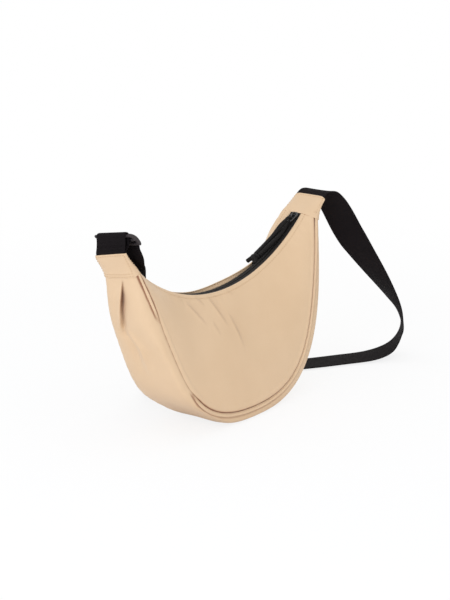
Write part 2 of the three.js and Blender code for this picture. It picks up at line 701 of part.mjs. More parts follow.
// Strap end: up over the inner bar, under and round the middle bar, and back on itself as a short tail
function threadedLine() {
  const inner = 2 * BAR_PITCH;
  const middle = BAR_PITCH;
  const cross = Math.acos(WRAP_RADIUS / (BAR_PITCH / 2));
  const hang = new THREE.Vector2(Math.sin(ADJUSTER_TILT), -Math.cos(ADJUSTER_TILT));
  const aside = new THREE.Vector2(Math.cos(ADJUSTER_TILT), Math.sin(ADJUSTER_TILT));
  const on = (distance, run) => new THREE.Vector2(inner, 0)
    .addScaledVector(aside, distance).addScaledVector(hang, run);
  const tailOut = WRAP_RADIUS + WEBBING + 2 * GAP;
  const settle = radians(66);
  const overTail = [0.3, 0.65, 1].map((share) => new THREE.Vector2(
    mix(middle, inner, share), mix(WRAP_RADIUS, tailOut + GAP, share),
  ));
  return [
    on(WRAP_RADIUS, THREADED_RUN),
    ...arcPoints(inner, 0, WRAP_RADIUS, ADJUSTER_TILT, Math.PI - cross, 6),
    ...arcPoints(middle, 0, WRAP_RADIUS, -cross, -1.5 * Math.PI, 12),
    ...overTail,
    ...arcPoints(inner, 0, tailOut, settle, ADJUSTER_TILT, 2),
    on(tailOut, TAIL_RUN),
  ];
}

function addLeftFitting() {
  const fitting = new THREE.Group();
  fitting.position.copy(tabSection(TABS.left, 1).centre);
  fitting.rotation.x = LOOP_ROLL;
  addPiece(fitting, 'anchor_webbing', bentWebbing(anchorLine()), 'webbing');
  const adjuster = new THREE.Group();
  adjuster.position.set(LOOP_LEAN, 0, LOOP_RISE);
  adjuster.rotation.y = ADJUSTER_TILT;
  addPiece(adjuster, 'strap_adjuster', adjusterFrame(), 'plastic');
  addPiece(adjuster, 'strap_threaded_end', bentWebbing(threadedLine()), 'webbing');
  fitting.add(adjuster);
  bag.add(fitting);
}

// Strap: flat webbing along its route, its width turned with the route's cross directions
function addStrap() {
  const curve = (points) => new THREE.CatmullRomCurve3(points, false, 'catmullrom');
  const line = curve(STRAP_ROUTE.map((row) => vec(...row.slice(0, 3))));
  const cross = curve(STRAP_ROUTE.map((row) => vec(...row.slice(3))));
  const steps = 3 * (STRAP_ROUTE.length - 1);
  const bands = 6;
  const face = (side) => Array.from({ length: steps + 1 }, (_, i) => {
    const run = line.getTangent(i / steps);
    const hint = cross.getPoint(i / steps);
    const wide = hint.addScaledVector(run, -hint.dot(run)).normalize();
    const thick = run.clone().cross(wide).multiplyScalar((side * WEBBING) / 2);
    const edge = line.getPoint(i / steps).add(thick).addScaledVector(wide, -WEBBING_WIDTH / 2);
    return Array.from({ length: bands + 1 }, (_, k) => (
      edge.clone().addScaledVector(wide, (k / bands) * WEBBING_WIDTH)
    ));
  });
  addPiece(bag, 'strap', sheetBody(face(1), face(-1)), 'webbing');
}

addShell();
addZip();
addPull(addBail(addSlider()));
addTabs();
addLeftFitting();
addStrap();

export default bag;
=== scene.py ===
# %% [markdown]
# # A crescent crossbody bag
# The bag is a soft shell of beige nylon: a front and a back panel joined by one gusset strip, with a
# piped seam on each side. A curved zip closes the top, and a black webbing strap runs from the right
# end, over the floor behind the bag, to an adjuster at the left end. The construction is already in the
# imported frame. This lesson gives every piece the surface that it has on the real bag.

import bpy
import numpy as np
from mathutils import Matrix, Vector


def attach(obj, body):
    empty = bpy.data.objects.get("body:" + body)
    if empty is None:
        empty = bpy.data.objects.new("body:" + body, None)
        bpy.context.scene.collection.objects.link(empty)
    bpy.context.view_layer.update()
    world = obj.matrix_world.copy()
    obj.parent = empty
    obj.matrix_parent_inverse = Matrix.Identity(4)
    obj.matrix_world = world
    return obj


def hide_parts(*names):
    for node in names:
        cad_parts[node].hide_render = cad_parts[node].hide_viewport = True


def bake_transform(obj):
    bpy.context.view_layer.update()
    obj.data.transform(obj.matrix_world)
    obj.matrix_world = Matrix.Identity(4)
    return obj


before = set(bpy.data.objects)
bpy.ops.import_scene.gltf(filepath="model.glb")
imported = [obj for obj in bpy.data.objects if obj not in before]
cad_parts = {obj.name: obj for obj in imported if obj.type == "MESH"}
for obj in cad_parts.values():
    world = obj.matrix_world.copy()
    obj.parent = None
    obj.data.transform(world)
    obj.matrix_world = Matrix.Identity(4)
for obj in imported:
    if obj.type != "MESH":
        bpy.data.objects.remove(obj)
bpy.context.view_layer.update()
MM = 0.001

# %% [markdown]
# ## Camera
# The photograph looks at the bag's left end and front from a little above, from about two metres away.
# A camera could be framed by eye, but the bag's known sizes give its place and lens by measurement.
# The sensor width counts for the long side of the picture, so the lens follows from the picture height.

# %% Camera at the photograph's viewing angle
CAMERA_PLACE = Vector((-1.7198, -1.2923, 0.7263))
CAMERA_AIM = Vector((0.0101, -0.0036, 0.1212))
CAMERA_LENS = 124.35

camera_data = bpy.data.cameras.new("photo_camera")
camera_data.lens = CAMERA_LENS
camera_data.sensor_width = 36
camera = bpy.data.objects.new("photo_camera", camera_data)
camera.location = CAMERA_PLACE
camera.rotation_mode = "QUATERNION"
camera.rotation_quaternion = (CAMERA_AIM - CAMERA_PLACE).to_track_quat("-Z", "Y")
bpy.context.scene.collection.objects.link(camera)
bpy.context.scene.camera = camera
print("camera", round((CAMERA_AIM - CAMERA_PLACE).length, 2), "m from the bag")

# %% [markdown]
# ## Small mesh tools
# A sewn bag is made of strips, tubes and folded sheets, and each is a row of rings carried along a path.
# Blender's own curves and primitives could make some of them, but one loft function made of arrays keeps
# every point under control. A sheet of cloth is a loft too: its ring runs along the outer face and back
# along the inner face. The loft also lays out a UV map in metres, so weaves keep their true size.


# %% Curves and rings
def smoothstep(t):
    """Rises from 0 to 1 with level ends: three t squared less two t cubed, t held between 0 and 1."""
    t = np.clip(t, 0.0, 1.0)
    return t * t * (3.0 - 2.0 * t)


def bump(distance, width):
    """Bell of height 1: e to the power of minus the square of distance over width."""
    return np.exp(-((distance / width) ** 2))


def unit(vectors):
    """Each vector divided by its own length."""
    return vectors / np.linalg.norm(vectors, axis=-1, keepdims=True)


def running_length(points, axis=0):
    """Distance along a line of points: the running sum of the steps, starting from 0."""
    steps = np.linalg.norm(np.diff(points, axis=axis), axis=-1)
    total = np.cumsum(steps, axis=axis)
    return np.concatenate([np.zeros_like(np.take(total, [0], axis=axis)), total], axis=axis)


def cubic(t, start, leave, end, arrive):
    """Hermite curve: start and end weighted by cubics of t that add up to one, and the slopes at both by
    cubics that are nought at the ends."""
    return (
        (2 * t**3 - 3 * t**2 + 1) * start + (t**3 - 2 * t**2 + t) * leave
        + (3 * t**2 - 2 * t**3) * end + (t**3 - t**2) * arrive
    )


def smooth_line(points, steps):
    """Curve through every point: on each span a cubic whose end slopes are half the chord between the
    neighbours on either side, with the line carried straight on past its two ends."""
    points = np.asarray(points, float)
    padded = np.concatenate([2 * points[:1] - points[1:2], points, 2 * points[-1:] - points[-2:-1]])
    before, start, end, after = (padded[k:k + len(points) - 1, None] for k in range(4))
    t = (np.arange(steps) / steps)[None, :, None]
    curve = cubic(t, start, (end - before) / 2, end, (after - start) / 2)
    return np.concatenate([curve.reshape(-1, points.shape[1]), points[-1:]])


# %% Rings along a path
def runs_of(path, closed=False):
    """Unit direction at each point of a path: the chord between its two neighbours."""
    if closed:
        return unit(np.roll(path, -1, axis=0) - np.roll(path, 1, axis=0))
    return unit(np.gradient(path, axis=0))


def path_axes(path, reference, closed=False):
    """Two directions across a path: one square to the run and to a reference, the other square to both."""
    run = runs_of(path, closed)
    side = unit(np.cross(run, np.asarray(reference, float)))
    return side, np.cross(side, run)


def tube_rings(path, radius, sides, reference, closed=False):
    """Circle carried along a path: each point is the centre plus radius times the cosine of its angle on
    one axis and the sine on the other."""
    side, other = path_axes(path, reference, closed)
    angle = 2 * np.pi * np.arange(sides) / sides
    radius = np.broadcast_to(radius, len(path))[:, None, None]
    ring = np.cos(angle)[None, :, None] * side[:, None] + np.sin(angle)[None, :, None] * other[:, None]
    return path[:, None] + radius * ring


def turn(axis, degrees):
    """Rotation matrix about the x, y or z axis."""
    c, s = np.cos(np.radians(degrees)), np.sin(np.radians(degrees))
    return np.array({
        "x": [[1, 0, 0], [0, c, -s], [0, s, c]],
        "y": [[c, 0, s], [0, 1, 0], [-s, 0, c]],
        "z": [[c, -s, 0], [s, c, 0], [0, 0, 1]],
    }[axis])


# %% Lofted meshes
def cap_quads(count):
    """Strip of quads over an end ring, which joins the ring's first half to its second half."""
    k = np.arange(count // 2 - 1)
    return np.stack([k, k + 1, count - 2 - k, count - 1 - k], -1)


def loft_faces(rows, count, looped=False):
    """Quads between neighbouring rings of points numbered ring by ring, and a cap over each end ring."""
    i, j = np.meshgrid(np.arange(rows if looped else rows - 1), np.arange(count), indexing="ij")
    after, beside = (i + 1) % rows, (j + 1) % count
    sides = np.stack([i * count + j, after * count + j, after * count + beside, i * count + beside], -1)
    cap = cap_quads(count)
    last = cap[:, ::-1] + (rows - 1) * count
    ends = np.empty((0, 4), int) if looped else np.concatenate([cap, last])
    return np.concatenate([sides.reshape(-1, 4), ends])


def loft_uv(rings, looped=False):
    """UV of each face corner: distance round the ring, and distance along the path, in the same order as
    the faces of the loft."""
    rows, count = rings.shape[:2]
    whole = np.concatenate([rings, rings[:, :1]], axis=1)
    whole = np.concatenate([whole, whole[:1]], axis=0) if looped else whole
    uv = np.stack([running_length(whole, 1), running_length(whole, 0)], -1)
    sides = np.stack([uv[:-1, :-1], uv[1:, :-1], uv[1:, 1:], uv[:-1, 1:]], 2).reshape(-1, 4, 2)
    if looped:
        return sides
    cap = cap_quads(count)
    return np.concatenate([sides, uv[0, cap], uv[-1, cap[:, ::-1]]])


# %% Pieces on their bodies
def add_mesh(name, points, faces, uv, shade_marks=None):
    """One mesh from points in millimetres, with its faces turned to point out of the volume they close. A
    painted-shade value at each point, from 0 to 1, kept as the fold attribute, says how much shade is painted
    on the cloth there, in a groove, crease or pleat."""
    a, b, c, d = (points[faces[:, k]] for k in range(4))
    volume = np.sum(a * np.cross(b, c)) + np.sum(a * np.cross(c, d))
    order = [0, 1, 2, 3] if volume > 0 else [3, 2, 1, 0]
    mesh = bpy.data.meshes.new(name)
    mesh.from_pydata((points * MM).tolist(), [], faces[:, order].tolist())
    layer = mesh.uv_layers.new(name="cloth")
    layer.data.foreach_set("uv", (uv[:, order] * MM).ravel())
    mesh.shade_smooth()
    # The painted-shade values go into the fold attribute.
    if shade_marks is not None:
        mesh.attributes.new("fold", "FLOAT", "POINT").data.foreach_set("value", shade_marks.ravel())
    piece = bpy.data.objects.new(name, mesh)
    bpy.context.scene.collection.objects.link(piece)
    return piece


def add_lofts(name, lofts):
    """One piece from several closed lofts; each loft is its rings and whether its path is a closed loop."""
    points, faces, uv, first = [], [], [], 0
    for rings, looped in lofts:
        points.append(rings.reshape(-1, 3))
        faces.append(first + loft_faces(*rings.shape[:2], looped))
        uv.append(loft_uv(rings, looped))
        first += rings.shape[0] * rings.shape[1]
    return add_mesh(name, np.concatenate(points), np.concatenate(faces), np.concatenate(uv))


def add_loft(name, rings, looped=False, shade_marks=None):
    """One piece from one closed loft."""
    faces = loft_faces(*rings.shape[:2], looped)
    return add_mesh(name, rings.reshape(-1, 3), faces, loft_uv(rings, looped), shade_marks)


def settle(piece, body, slot, finish, *nodes):
    """Rides the piece on its body, names its finish, and lets it stand for its nodes; the slot is not used.
    """
    piece.data.materials.append(finish)
    if nodes:
        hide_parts(*nodes)
    if body:
        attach(piece, body)
    print(piece.name, "on", body or "two bodies:", len(piece.data.polygons), "faces")
    return piece


# %% [markdown]
# ## Stage and light
# The bag stands on a white floor in front of a white background, in soft light that comes mostly from
# its left. A uniform sky of about the colours' own level does most of the work, and one large lamp on
# the left gives the gusset its brighter tone and the floor its soft shadow. The background is white
# because camera rays, and rays that polished pieces mirror, see the sky at strength 1.


# %% Shader tools
def math_node(tree, operation, *values):
    """Math node whose inputs are numbers or other nodes' outputs; gives back its output."""
    node = tree.nodes.new("ShaderNodeMath")
    node.operation = operation
    for socket, value in zip(node.inputs, values):
        if isinstance(value, (int, float)):
            socket.default_value = value
        else:
            tree.links.new(value, socket)
    return node.outputs[0]


def shade_by(tree, mask, first, second, end):
    """Mixes two shaders by a mask and sends the result to an end node."""
    mix = tree.nodes.new("ShaderNodeMixShader")
    tree.links.new(mask, mix.inputs["Fac"])
    tree.links.new(first.outputs[0], mix.inputs[1])
    tree.links.new(second.outputs[0], mix.inputs[2])
    tree.links.new(mix.outputs[0], tree.nodes[end].inputs["Surface"])


# %% Stage sizes and floor
WHITE = (1.0, 1.0, 1.0, 1.0)
PAPER = (0.95, 0.95, 0.95, 1.0)
FLOOR_SIZE = 12.0
FLOOR_DROP = 0.0004
FLOOR_GLOW = 0.82
SHADOW_REACH = (0.4, 1.0)
SKY_LEVEL = 0.91
KEY_POWER = 19.0
KEY_COLOUR = (0.88, 0.97, 1.18)
KEY_SIZE = 1.6
KEY_PLACE = Vector((-2.1, -0.75, 0.95))


def add_floor():
    """Flat square of four corners, a hair below the surface that the bag stands on. The camera sees it glow
    white, a little less near the bag, where the shaded paper shows through."""
    half = FLOOR_SIZE / 2
    mesh = bpy.data.meshes.new("floor")
    corners = [(x, y, -FLOOR_DROP) for x, y in [(-half, -half), (half, -half), (half, half), (-half, half)]]
    mesh.from_pydata(corners, [], [(0, 1, 2, 3)])
    floor = bpy.data.objects.new("floor", mesh)
    bpy.context.scene.collection.objects.link(floor)
    paper = bpy.data.materials.new("white paper floor")
    paper.use_nodes = True
    tree = paper.node_tree
    shader = tree.nodes["Principled BSDF"]
    shader.inputs["Base Color"].default_value = PAPER
    shader.inputs["Roughness"].default_value = 1.0
    shader.inputs["Specular IOR Level"].default_value = 0.0
    glow = tree.nodes.new("ShaderNodeEmission")
    glow.inputs["Strength"].default_value = 1.0
    path = tree.nodes.new("ShaderNodeLightPath")
    where = tree.nodes.new("ShaderNodeTexCoord")
    away = tree.nodes.new("ShaderNodeVectorMath")
    away.operation = "LENGTH"
    tree.links.new(where.outputs["Object"], away.inputs[0])
    fade = tree.nodes.new("ShaderNodeMapRange")
    fade.interpolation_type = "SMOOTHSTEP"
    tree.links.new(away.outputs["Value"], fade.inputs["Value"])
    for label, value in zip(("From Min", "From Max", "To Min", "To Max"), (*SHADOW_REACH, FLOOR_GLOW, 1.0)):
        fade.inputs[label].default_value = value
    share = math_node(tree, "MULTIPLY", path.outputs["Is Camera Ray"], fade.outputs["Result"])
    shade_by(tree, share, shader, glow, "Material Output")
    mesh.materials.append(paper)


# %% Sky and lamp
def add_sky():
    """White where the camera or a mirror sees it, and a soft even light for everything else."""
    world = bpy.data.worlds.new("studio sky")
    bpy.context.scene.world = world
    world.use_nodes = True
    tree = world.node_tree
    light = tree.nodes["Background"]
    seen = tree.nodes.new("ShaderNodeBackground")
    for sky, strength in ((light, SKY_LEVEL), (seen, 1.0)):
        sky.inputs["Color"].default_value = WHITE
        sky.inputs["Strength"].default_value = strength
    path = tree.nodes.new("ShaderNodeLightPath")
    mirrored = math_node(tree, "MAXIMUM", path.outputs["Is Glossy Ray"], path.outputs["Is Transmission Ray"])
    shown = math_node(tree, "MAXIMUM", path.outputs["Is Camera Ray"], mirrored)
    shade_by(tree, shown, light, seen, "World Output")


def add_lamp(name, place, size, power, colour):
    """Round area lamp that shines at the bag."""
    lamp_data = bpy.data.lights.new(name, "AREA")
    lamp_data.shape = "DISK"
    lamp_data.size = size
    lamp_data.energy = power
    lamp_data.color = colour
    lamp = bpy.data.objects.new(name, lamp_data)
    lamp.location = place
    lamp.rotation_mode = "QUATERNION"
    lamp.rotation_quaternion = (CAMERA_AIM - place).to_track_quat("-Z", "Y")
    bpy.context.scene.collection.objects.link(lamp)


add_floor()
add_sky()
add_lamp("key_lamp", KEY_PLACE, KEY_SIZE, KEY_POWER, KEY_COLOUR)
bpy.context.scene.view_settings.view_transform = "Standard"
print("stage: floor", FLOOR_SIZE, "m, sky level", SKY_LEVEL)

# %% [markdown]
# ## Shared surface effects
# Cloth, webbing and lining are all woven, only with threads of other sizes, so the weave is built once
# as a node group and placed in each material with its own thread pitch. A second group gives slow
# changes of tone, as dye and handling do, and a third the slanted ribs of zip tape. A picture of cloth
# could be used instead, but a formula on the true-size UV map never runs out of detail.


# %% Node group tools
def make_group(name, inputs, outputs):
    """Empty node group with value or vector inputs and value outputs, and its two end nodes."""
    group = bpy.data.node_groups.new(name, "ShaderNodeTree")
    for label, kind, value in inputs:
        socket = group.interface.new_socket(label, in_out="INPUT", socket_type=kind)
        if kind == "NodeSocketFloat":
            socket.default_value = value
    for label in outputs:
        group.interface.new_socket(label, in_out="OUTPUT", socket_type="NodeSocketFloat")
    return group, group.nodes.new("NodeGroupInput"), group.nodes.new("NodeGroupOutput")


# %% Weave and tone
def make_weave():
    """Plain weave: across and along are counted in threads, each thread is the size of a sine's half
    wave, and a chequer of the whole numbers says which of the two threads lies on top."""
    group, start, end = make_group(
        "woven threads",
        [("Vector", "NodeSocketVector", None), ("Across", "NodeSocketFloat", 0.0005),
         ("Along", "NodeSocketFloat", 0.0005)],
        ["Height", "Gap"],
    )
    split = group.nodes.new("ShaderNodeSeparateXYZ")
    group.links.new(start.outputs["Vector"], split.inputs[0])
    across = math_node(group, "DIVIDE", split.outputs["X"], start.outputs["Across"])
    along = math_node(group, "DIVIDE", split.outputs["Y"], start.outputs["Along"])
    waves = [
        math_node(group, "ABSOLUTE", math_node(group, "SINE", math_node(group, "MULTIPLY", count, np.pi)))
        for count in (across, along)
    ]
    floors = [math_node(group, "FLOOR", count) for count in (across, along)]
    chequer = math_node(group, "FLOORED_MODULO", math_node(group, "ADD", *floors), 2.0)
    height = math_node(
        group, "ADD", math_node(group, "MULTIPLY", waves[0], chequer),
        math_node(group, "MULTIPLY", waves[1], math_node(group, "SUBTRACT", 1.0, chequer)),
    )
    gap = math_node(group, "SUBTRACT", 1.0, math_node(group, "MAXIMUM", *waves))
    group.links.new(height, end.inputs["Height"])
    group.links.new(gap, end.inputs["Gap"])
    return group


def make_tone():
    """Slow clouds and fine fibre: two noises of the piece's own coordinates, each from 0 to 1."""
    group, start, end = make_group(
        "cloth tone",
        [("Vector", "NodeSocketVector", None), ("Cloud Scale", "NodeSocketFloat", 14.0),
         ("Fibre Scale", "NodeSocketFloat", 900.0)],
        ["Cloud", "Fibre"],
    )
    for label, detail in (("Cloud", 3.0), ("Fibre", 2.0)):
        noise = group.nodes.new("ShaderNodeTexNoise")
        noise.inputs["Detail"].default_value = detail
        group.links.new(start.outputs["Vector"], noise.inputs["Vector"])
        group.links.new(start.outputs[f"{label} Scale"], noise.inputs["Scale"])
        group.links.new(noise.outputs[0], end.inputs[label])
    return group


def make_herringbone():
    """Slanted ribs: a sine of the distance along plus the distance from the nearest rib column's middle."""
    group, start, end = make_group(
        "herringbone ribs",
        [("Vector", "NodeSocketVector", None), ("Column", "NodeSocketFloat", 0.0026),
         ("Rib", "NodeSocketFloat", 0.0008)],
        ["Height"],
    )
    split = group.nodes.new("ShaderNodeSeparateXYZ")
    group.links.new(start.outputs["Vector"], split.inputs[0])
    slant = math_node(group, "PINGPONG", split.outputs["X"], start.outputs["Column"])
    climb = math_node(group, "ADD", split.outputs["Y"], slant)
    phase = math_node(group, "MULTIPLY", math_node(group, "DIVIDE", climb, start.outputs["Rib"]), 2 * np.pi)
    wave = math_node(group, "SINE", phase)
    group.links.new(math_node(group, "MULTIPLY_ADD", wave, 0.5, 0.5), end.inputs["Height"])
    return group


WEAVE, TONE, HERRINGBONE = make_weave(), make_tone(), make_herringbone()
print("groups:", [group.name for group in (WEAVE, TONE, HERRINGBONE)])

# %% [markdown]
# ## Finishes
# The shell is a dense, softly lustrous nylon, so its weave is only a fine grain and its colour drifts a
# little in slow clouds. The webbing is coarser and nearly black, the zip's slider is gloss lacquer and
# the adjuster satin plastic. Each finish mixes a darker and a lighter tone of its colour by a mask, and
# lets the same threads drive a small bump. Constant values stay on the shader's own sockets.


# %% Finish tools
def linear(colour):
    """Display colour from 0 to 255 turned to light: below 4 percent a straight line, above it a power."""
    share = np.asarray(colour, float) / 255
    light = np.where(share <= 0.04045, share / 12.92, ((share + 0.055) / 1.055) ** 2.4)
    return (*light, 1.0)


def new_finish(name, constants):
    """Material with its shader's constant sockets set; gives back the material, its tree and shader."""
    finish = bpy.data.materials.new(name)
    finish.use_nodes = True
    shader = finish.node_tree.nodes["Principled BSDF"]
    for socket, value in constants.items():
        shader.inputs[socket].default_value = value
    return finish, finish.node_tree, shader


def place_group(tree, group, source, **values):
    """Node group in a material, read from the piece's UV map or its own coordinates."""
    node = tree.nodes.new("ShaderNodeGroup")
    node.node_tree = group
    where = tree.nodes.new("ShaderNodeTexCoord")
    tree.links.new(where.outputs[source], node.inputs["Vector"])
    for label, value in values.items():
        node.inputs[label.replace("_", " ")].default_value = value
    return node


def mix_colours(tree, mask, first, second):
    """Colour between two by a mask from 0 to 1; each is a display colour or another node's output."""
    mix = tree.nodes.new("ShaderNodeMix")
    mix.data_type = "RGBA"
    tree.links.new(mask, mix.inputs["Factor"])
    for label, colour in (("A", first), ("B", second)):
        if isinstance(colour, tuple):
            mix.inputs[label].default_value = linear(colour)
        else:
            tree.links.new(colour, mix.inputs[label])
    return mix.outputs["Result"]


def raise_bump(tree, shader, height, depth):
    """Bump whose height of 1 stands for a depth in metres."""
    node = tree.nodes.new("ShaderNodeBump")
    node.inputs["Strength"].default_value = 1.0
    node.inputs["Distance"].default_value = depth
    tree.links.new(height, node.inputs["Height"])
    tree.links.new(node.outputs["Normal"], shader.inputs["Normal"])


def vary_roughness(tree, shader, mask, low, high):
    """Roughness from low to high as a mask goes from 0 to 1."""
    tree.links.new(math_node(tree, "MULTIPLY_ADD", mask, high - low, low), shader.inputs["Roughness"])


# %% Woven finish
CLOUD_SHARE, CLOUD_BASE = 1.6, -0.3
GAP_PAINTED_SHADE = -0.35
FIBRE_SHARE, FIBRE_BASE = 0.3, 0.1


def woven_finish(name, dark, light, threads, depth, rough, constants, deep=None):
    """Woven cloth: slow clouds and fine fibre, less painted shade in the gaps between threads, mix the two
    tones; a third, dark tone is painted shade, mixed in by the fold attribute where the piece has one; and
    the threads raise the bump."""
    finish, tree, shader = new_finish(name, constants)
    weave = place_group(tree, WEAVE, "UV", Across=threads[0], Along=threads[1])
    tone = place_group(tree, TONE, "Object")
    cloud = math_node(tree, "MULTIPLY_ADD", tone.outputs["Cloud"], CLOUD_SHARE, CLOUD_BASE)
    # Painted shade: the gaps between threads darken the colour mask.
    thread = math_node(tree, "MULTIPLY", weave.outputs["Gap"], GAP_PAINTED_SHADE)
    fibre = math_node(tree, "MULTIPLY_ADD", tone.outputs["Fibre"], FIBRE_SHARE, thread)
    mask = math_node(tree, "ADD", cloud, math_node(tree, "SUBTRACT", fibre, FIBRE_BASE))
    mask = math_node(tree, "MINIMUM", math_node(tree, "MAXIMUM", mask, 0.0), 1.0)
    colour = mix_colours(tree, mask, dark, light)
    if deep:
        # Painted shade: the fold attribute turns the colour towards the dark deep tone in grooves, creases
        # and pleats.
        fold = tree.nodes.new("ShaderNodeAttribute")
        fold.attribute_name = "fold"
        colour = mix_colours(tree, fold.outputs["Fac"], colour, deep)
    tree.links.new(colour, shader.inputs["Base Color"])
    vary_roughness(tree, shader, tone.outputs["Cloud"], *rough)
    raise_bump(tree, shader, weave.outputs["Height"], depth)
    return finish


# %% Cloth, webbing and thread finishes
# The shell's deep tone, (122, 58, 20), is painted shade for cloth in pleats, creases and the grooves beside
# the piping.
SHELL = woven_finish(
    "beige nylon shell", (213, 181, 143), (223, 192, 155), (0.00042, 0.00038), 0.00003, (0.46, 0.58),
    {"Sheen Weight": 0.12, "Sheen Roughness": 0.5, "Specular IOR Level": 0.45}, deep=(122, 58, 20),
)
LINING = woven_finish(
    "thin nylon lining", (172, 149, 119), (187, 164, 134), (0.0003, 0.0003), 0.00003, (0.6, 0.72),
    {"Sheen Weight": 0.1, "Specular IOR Level": 0.3},
)
WEBBING = woven_finish(
    "black ribbed webbing", (19, 15, 16), (29, 24, 25), (0.0011, 0.0008), 0.00014, (0.7, 0.85),
    {"Specular IOR Level": 0.08},
)
BRAID = woven_finish(
    "black braided cord", (16, 14, 13), (30, 27, 25), (0.0013, 0.0013), 0.0003, (0.5, 0.66),
    {"Specular IOR Level": 0.2},
)
SHELL_THREAD = woven_finish(
    "beige sewing thread", (196, 164, 126), (214, 183, 145), (0.00025, 0.0004), 0.00005, (0.4, 0.5),
    {"Specular IOR Level": 0.4},
)


# %% Zip and buckle finishes
def tape_finish():
    """Zip tape: herringbone ribs raise the bump, and their furrows are darkened with painted shade."""
    finish, tree, shader = new_finish("black zip tape", {"Specular IOR Level": 0.2, "Sheen Weight": 0.05})
    ribs = place_group(tree, HERRINGBONE, "UV")
    tone = place_group(tree, TONE, "Object")
    # Painted shade in the furrows: the colour is darker where the ribs are low, and also in slow random
    # clouds.
    mask = math_node(tree, "MULTIPLY", ribs.outputs["Height"], tone.outputs["Cloud"])
    colour = mix_colours(tree, mask, (16, 13, 11), (40, 35, 30))
    tree.links.new(colour, shader.inputs["Base Color"])
    vary_roughness(tree, shader, tone.outputs["Fibre"], 0.7, 0.9)
    raise_bump(tree, shader, ribs.outputs["Height"], 0.00012)
    return finish


def hard_finish(name, dark, light, grain_depth, rough, constants):
    """Moulded or lacquered surface: clouds change its tone and sheen, and a fine grain dulls its light."""
    finish, tree, shader = new_finish(name, constants)
    tone = place_group(tree, TONE, "Object", Cloud_Scale=120.0, Fibre_Scale=2600.0)
    colour = mix_colours(tree, tone.outputs["Cloud"], dark, light)
    tree.links.new(colour, shader.inputs["Base Color"])
    vary_roughness(tree, shader, tone.outputs["Cloud"], *rough)
    raise_bump(tree, shader, tone.outputs["Fibre"], grain_depth)
    return finish


TAPE = tape_finish()
LACQUER = hard_finish(
    "gloss black lacquer", (12, 12, 13), (20, 20, 22), 0.000004, (0.16, 0.26),
    {"Coat Weight": 0.6, "Coat Roughness": 0.08, "Specular IOR Level": 0.6},
)
PLASTIC = hard_finish(
    "satin buckle plastic", (50, 45, 46), (62, 56, 56), 0.00002, (0.5, 0.6),
    {"Specular IOR Level": 0.25},
)
COIL = hard_finish(
    "black nylon coil", (20, 18, 17), (32, 29, 27), 0.00001, (0.4, 0.5), {"Specular IOR Level": 0.4},
)
finishes = (SHELL, LINING, WEBBING, BRAID, SHELL_THREAD, TAPE, LACQUER, PLASTIC, COIL)
print("finishes:", [finish.name for finish in finishes])

# %% [markdown]
# ## Strap
# The strap is one length of 38 mm webbing. It leaves the right tab, falls forward and round to the
# floor, turns over on its edge there, runs behind the bag and climbs to the adjuster. A curve object
# with a flat bevel twists where it likes, so the strap is lofted instead: each row of the route has a
# point of the centreline and the direction across the webbing, and both are smoothed together.

# %% Strap route, in metres
STRAP_WIDTH = 38.0
STRAP_THICKNESS = 1.4
STRAP_ROUTE = [
    (0.1709, 0, 0.2014, 0, 1, 0),
    (0.1771, 0, 0.2064, 0, 1, 0),
    (0.1874, 0, 0.21, 0, 1, 0),
    (0.1986, -0.002, 0.2073, -0.05, 1, 0),
    (0.2068, -0.006, 0.198, -0.12, 1, 0),
    (0.214, -0.012, 0.183, -0.18, 1, 0),
    (0.223, -0.022, 0.158, -0.2, 0.98, 0),
    (0.232, -0.033, 0.136, -0.1, 0.98, 0),
    (0.248, -0.046, 0.106, 0.15, 0.97, 0),
    (0.267, -0.056, 0.074, 0.5, 0.85, 0),
    (0.278, -0.06, 0.052, 0.76, 0.65, 0),
    (0.284, -0.059, 0.035, 0.82, 0.57, 0),
    (0.282, -0.054, 0.0195, 0.8, 0.6, 0),
    (0.273, -0.046, 0.0088, 0.72, 0.69, 0),
    (0.254, -0.033, 0.003, 0.62, 0.78, 0),
    (0.225, -0.012, 0.0015, 0.54, 0.84, 0),
    (0.19, 0.01, 0.0015, 0.5, 0.87, 0),
    (0.155, 0.037, 0.0015, 0.58, 0.8, 0),
    (0.126, 0.069, 0.0015, 0.68, 0.73, 0),
    (0.098, 0.096, 0.0015, 0.45, 0.9, 0),
    (0.062, 0.107, 0.0015, 0.05, 1, 0),
    (0.03, 0.1, 0.006, -0.25, 0.95, -0.2),
    (0.003, 0.084, 0.021, -0.4, 0.7, -0.55),
    (-0.023, 0.069, 0.046, -0.65, 0.4, -0.6),
    (-0.048, 0.057, 0.076, -0.8, 0.25, -0.5),
    (-0.074, 0.047, 0.107, -0.85, 0.25, -0.5),
    (-0.098, 0.037, 0.139, -0.8, 0.4, -0.4),
    (-0.118, 0.026, 0.1665, -0.6, 0.7, -0.3),
    (-0.1335, 0.014, 0.1855, -0.3, 0.9, -0.1),
    (-0.1448, 0.004, 0.197, -0.05, 1, -0.06),
    (-0.1506, -0.0008, 0.2052, 0, 1, -0.1),
    (-0.153, -0.0001, 0.21035, 0, 1, -0.19),
    (-0.1531, 0.0005, 0.2137, 0, 1, -0.1763),
]
STRAP_STEPS = 12
print("strap route:", len(STRAP_ROUTE), "points")

# %% Webbing section and strap
WEB_COLUMNS = 25
WEB_FLAT, SELVAGE_SWELL, SELVAGE_AT, SELVAGE_WIDTH = 0.9, 0.16, 0.9, 0.08


def edge_to_edge(count):
    """Numbers from -1 to 1, closer together at both ends: a sine from minus to plus a quarter turn."""
    return np.sin(np.linspace(-1, 1, count) * np.pi / 2)


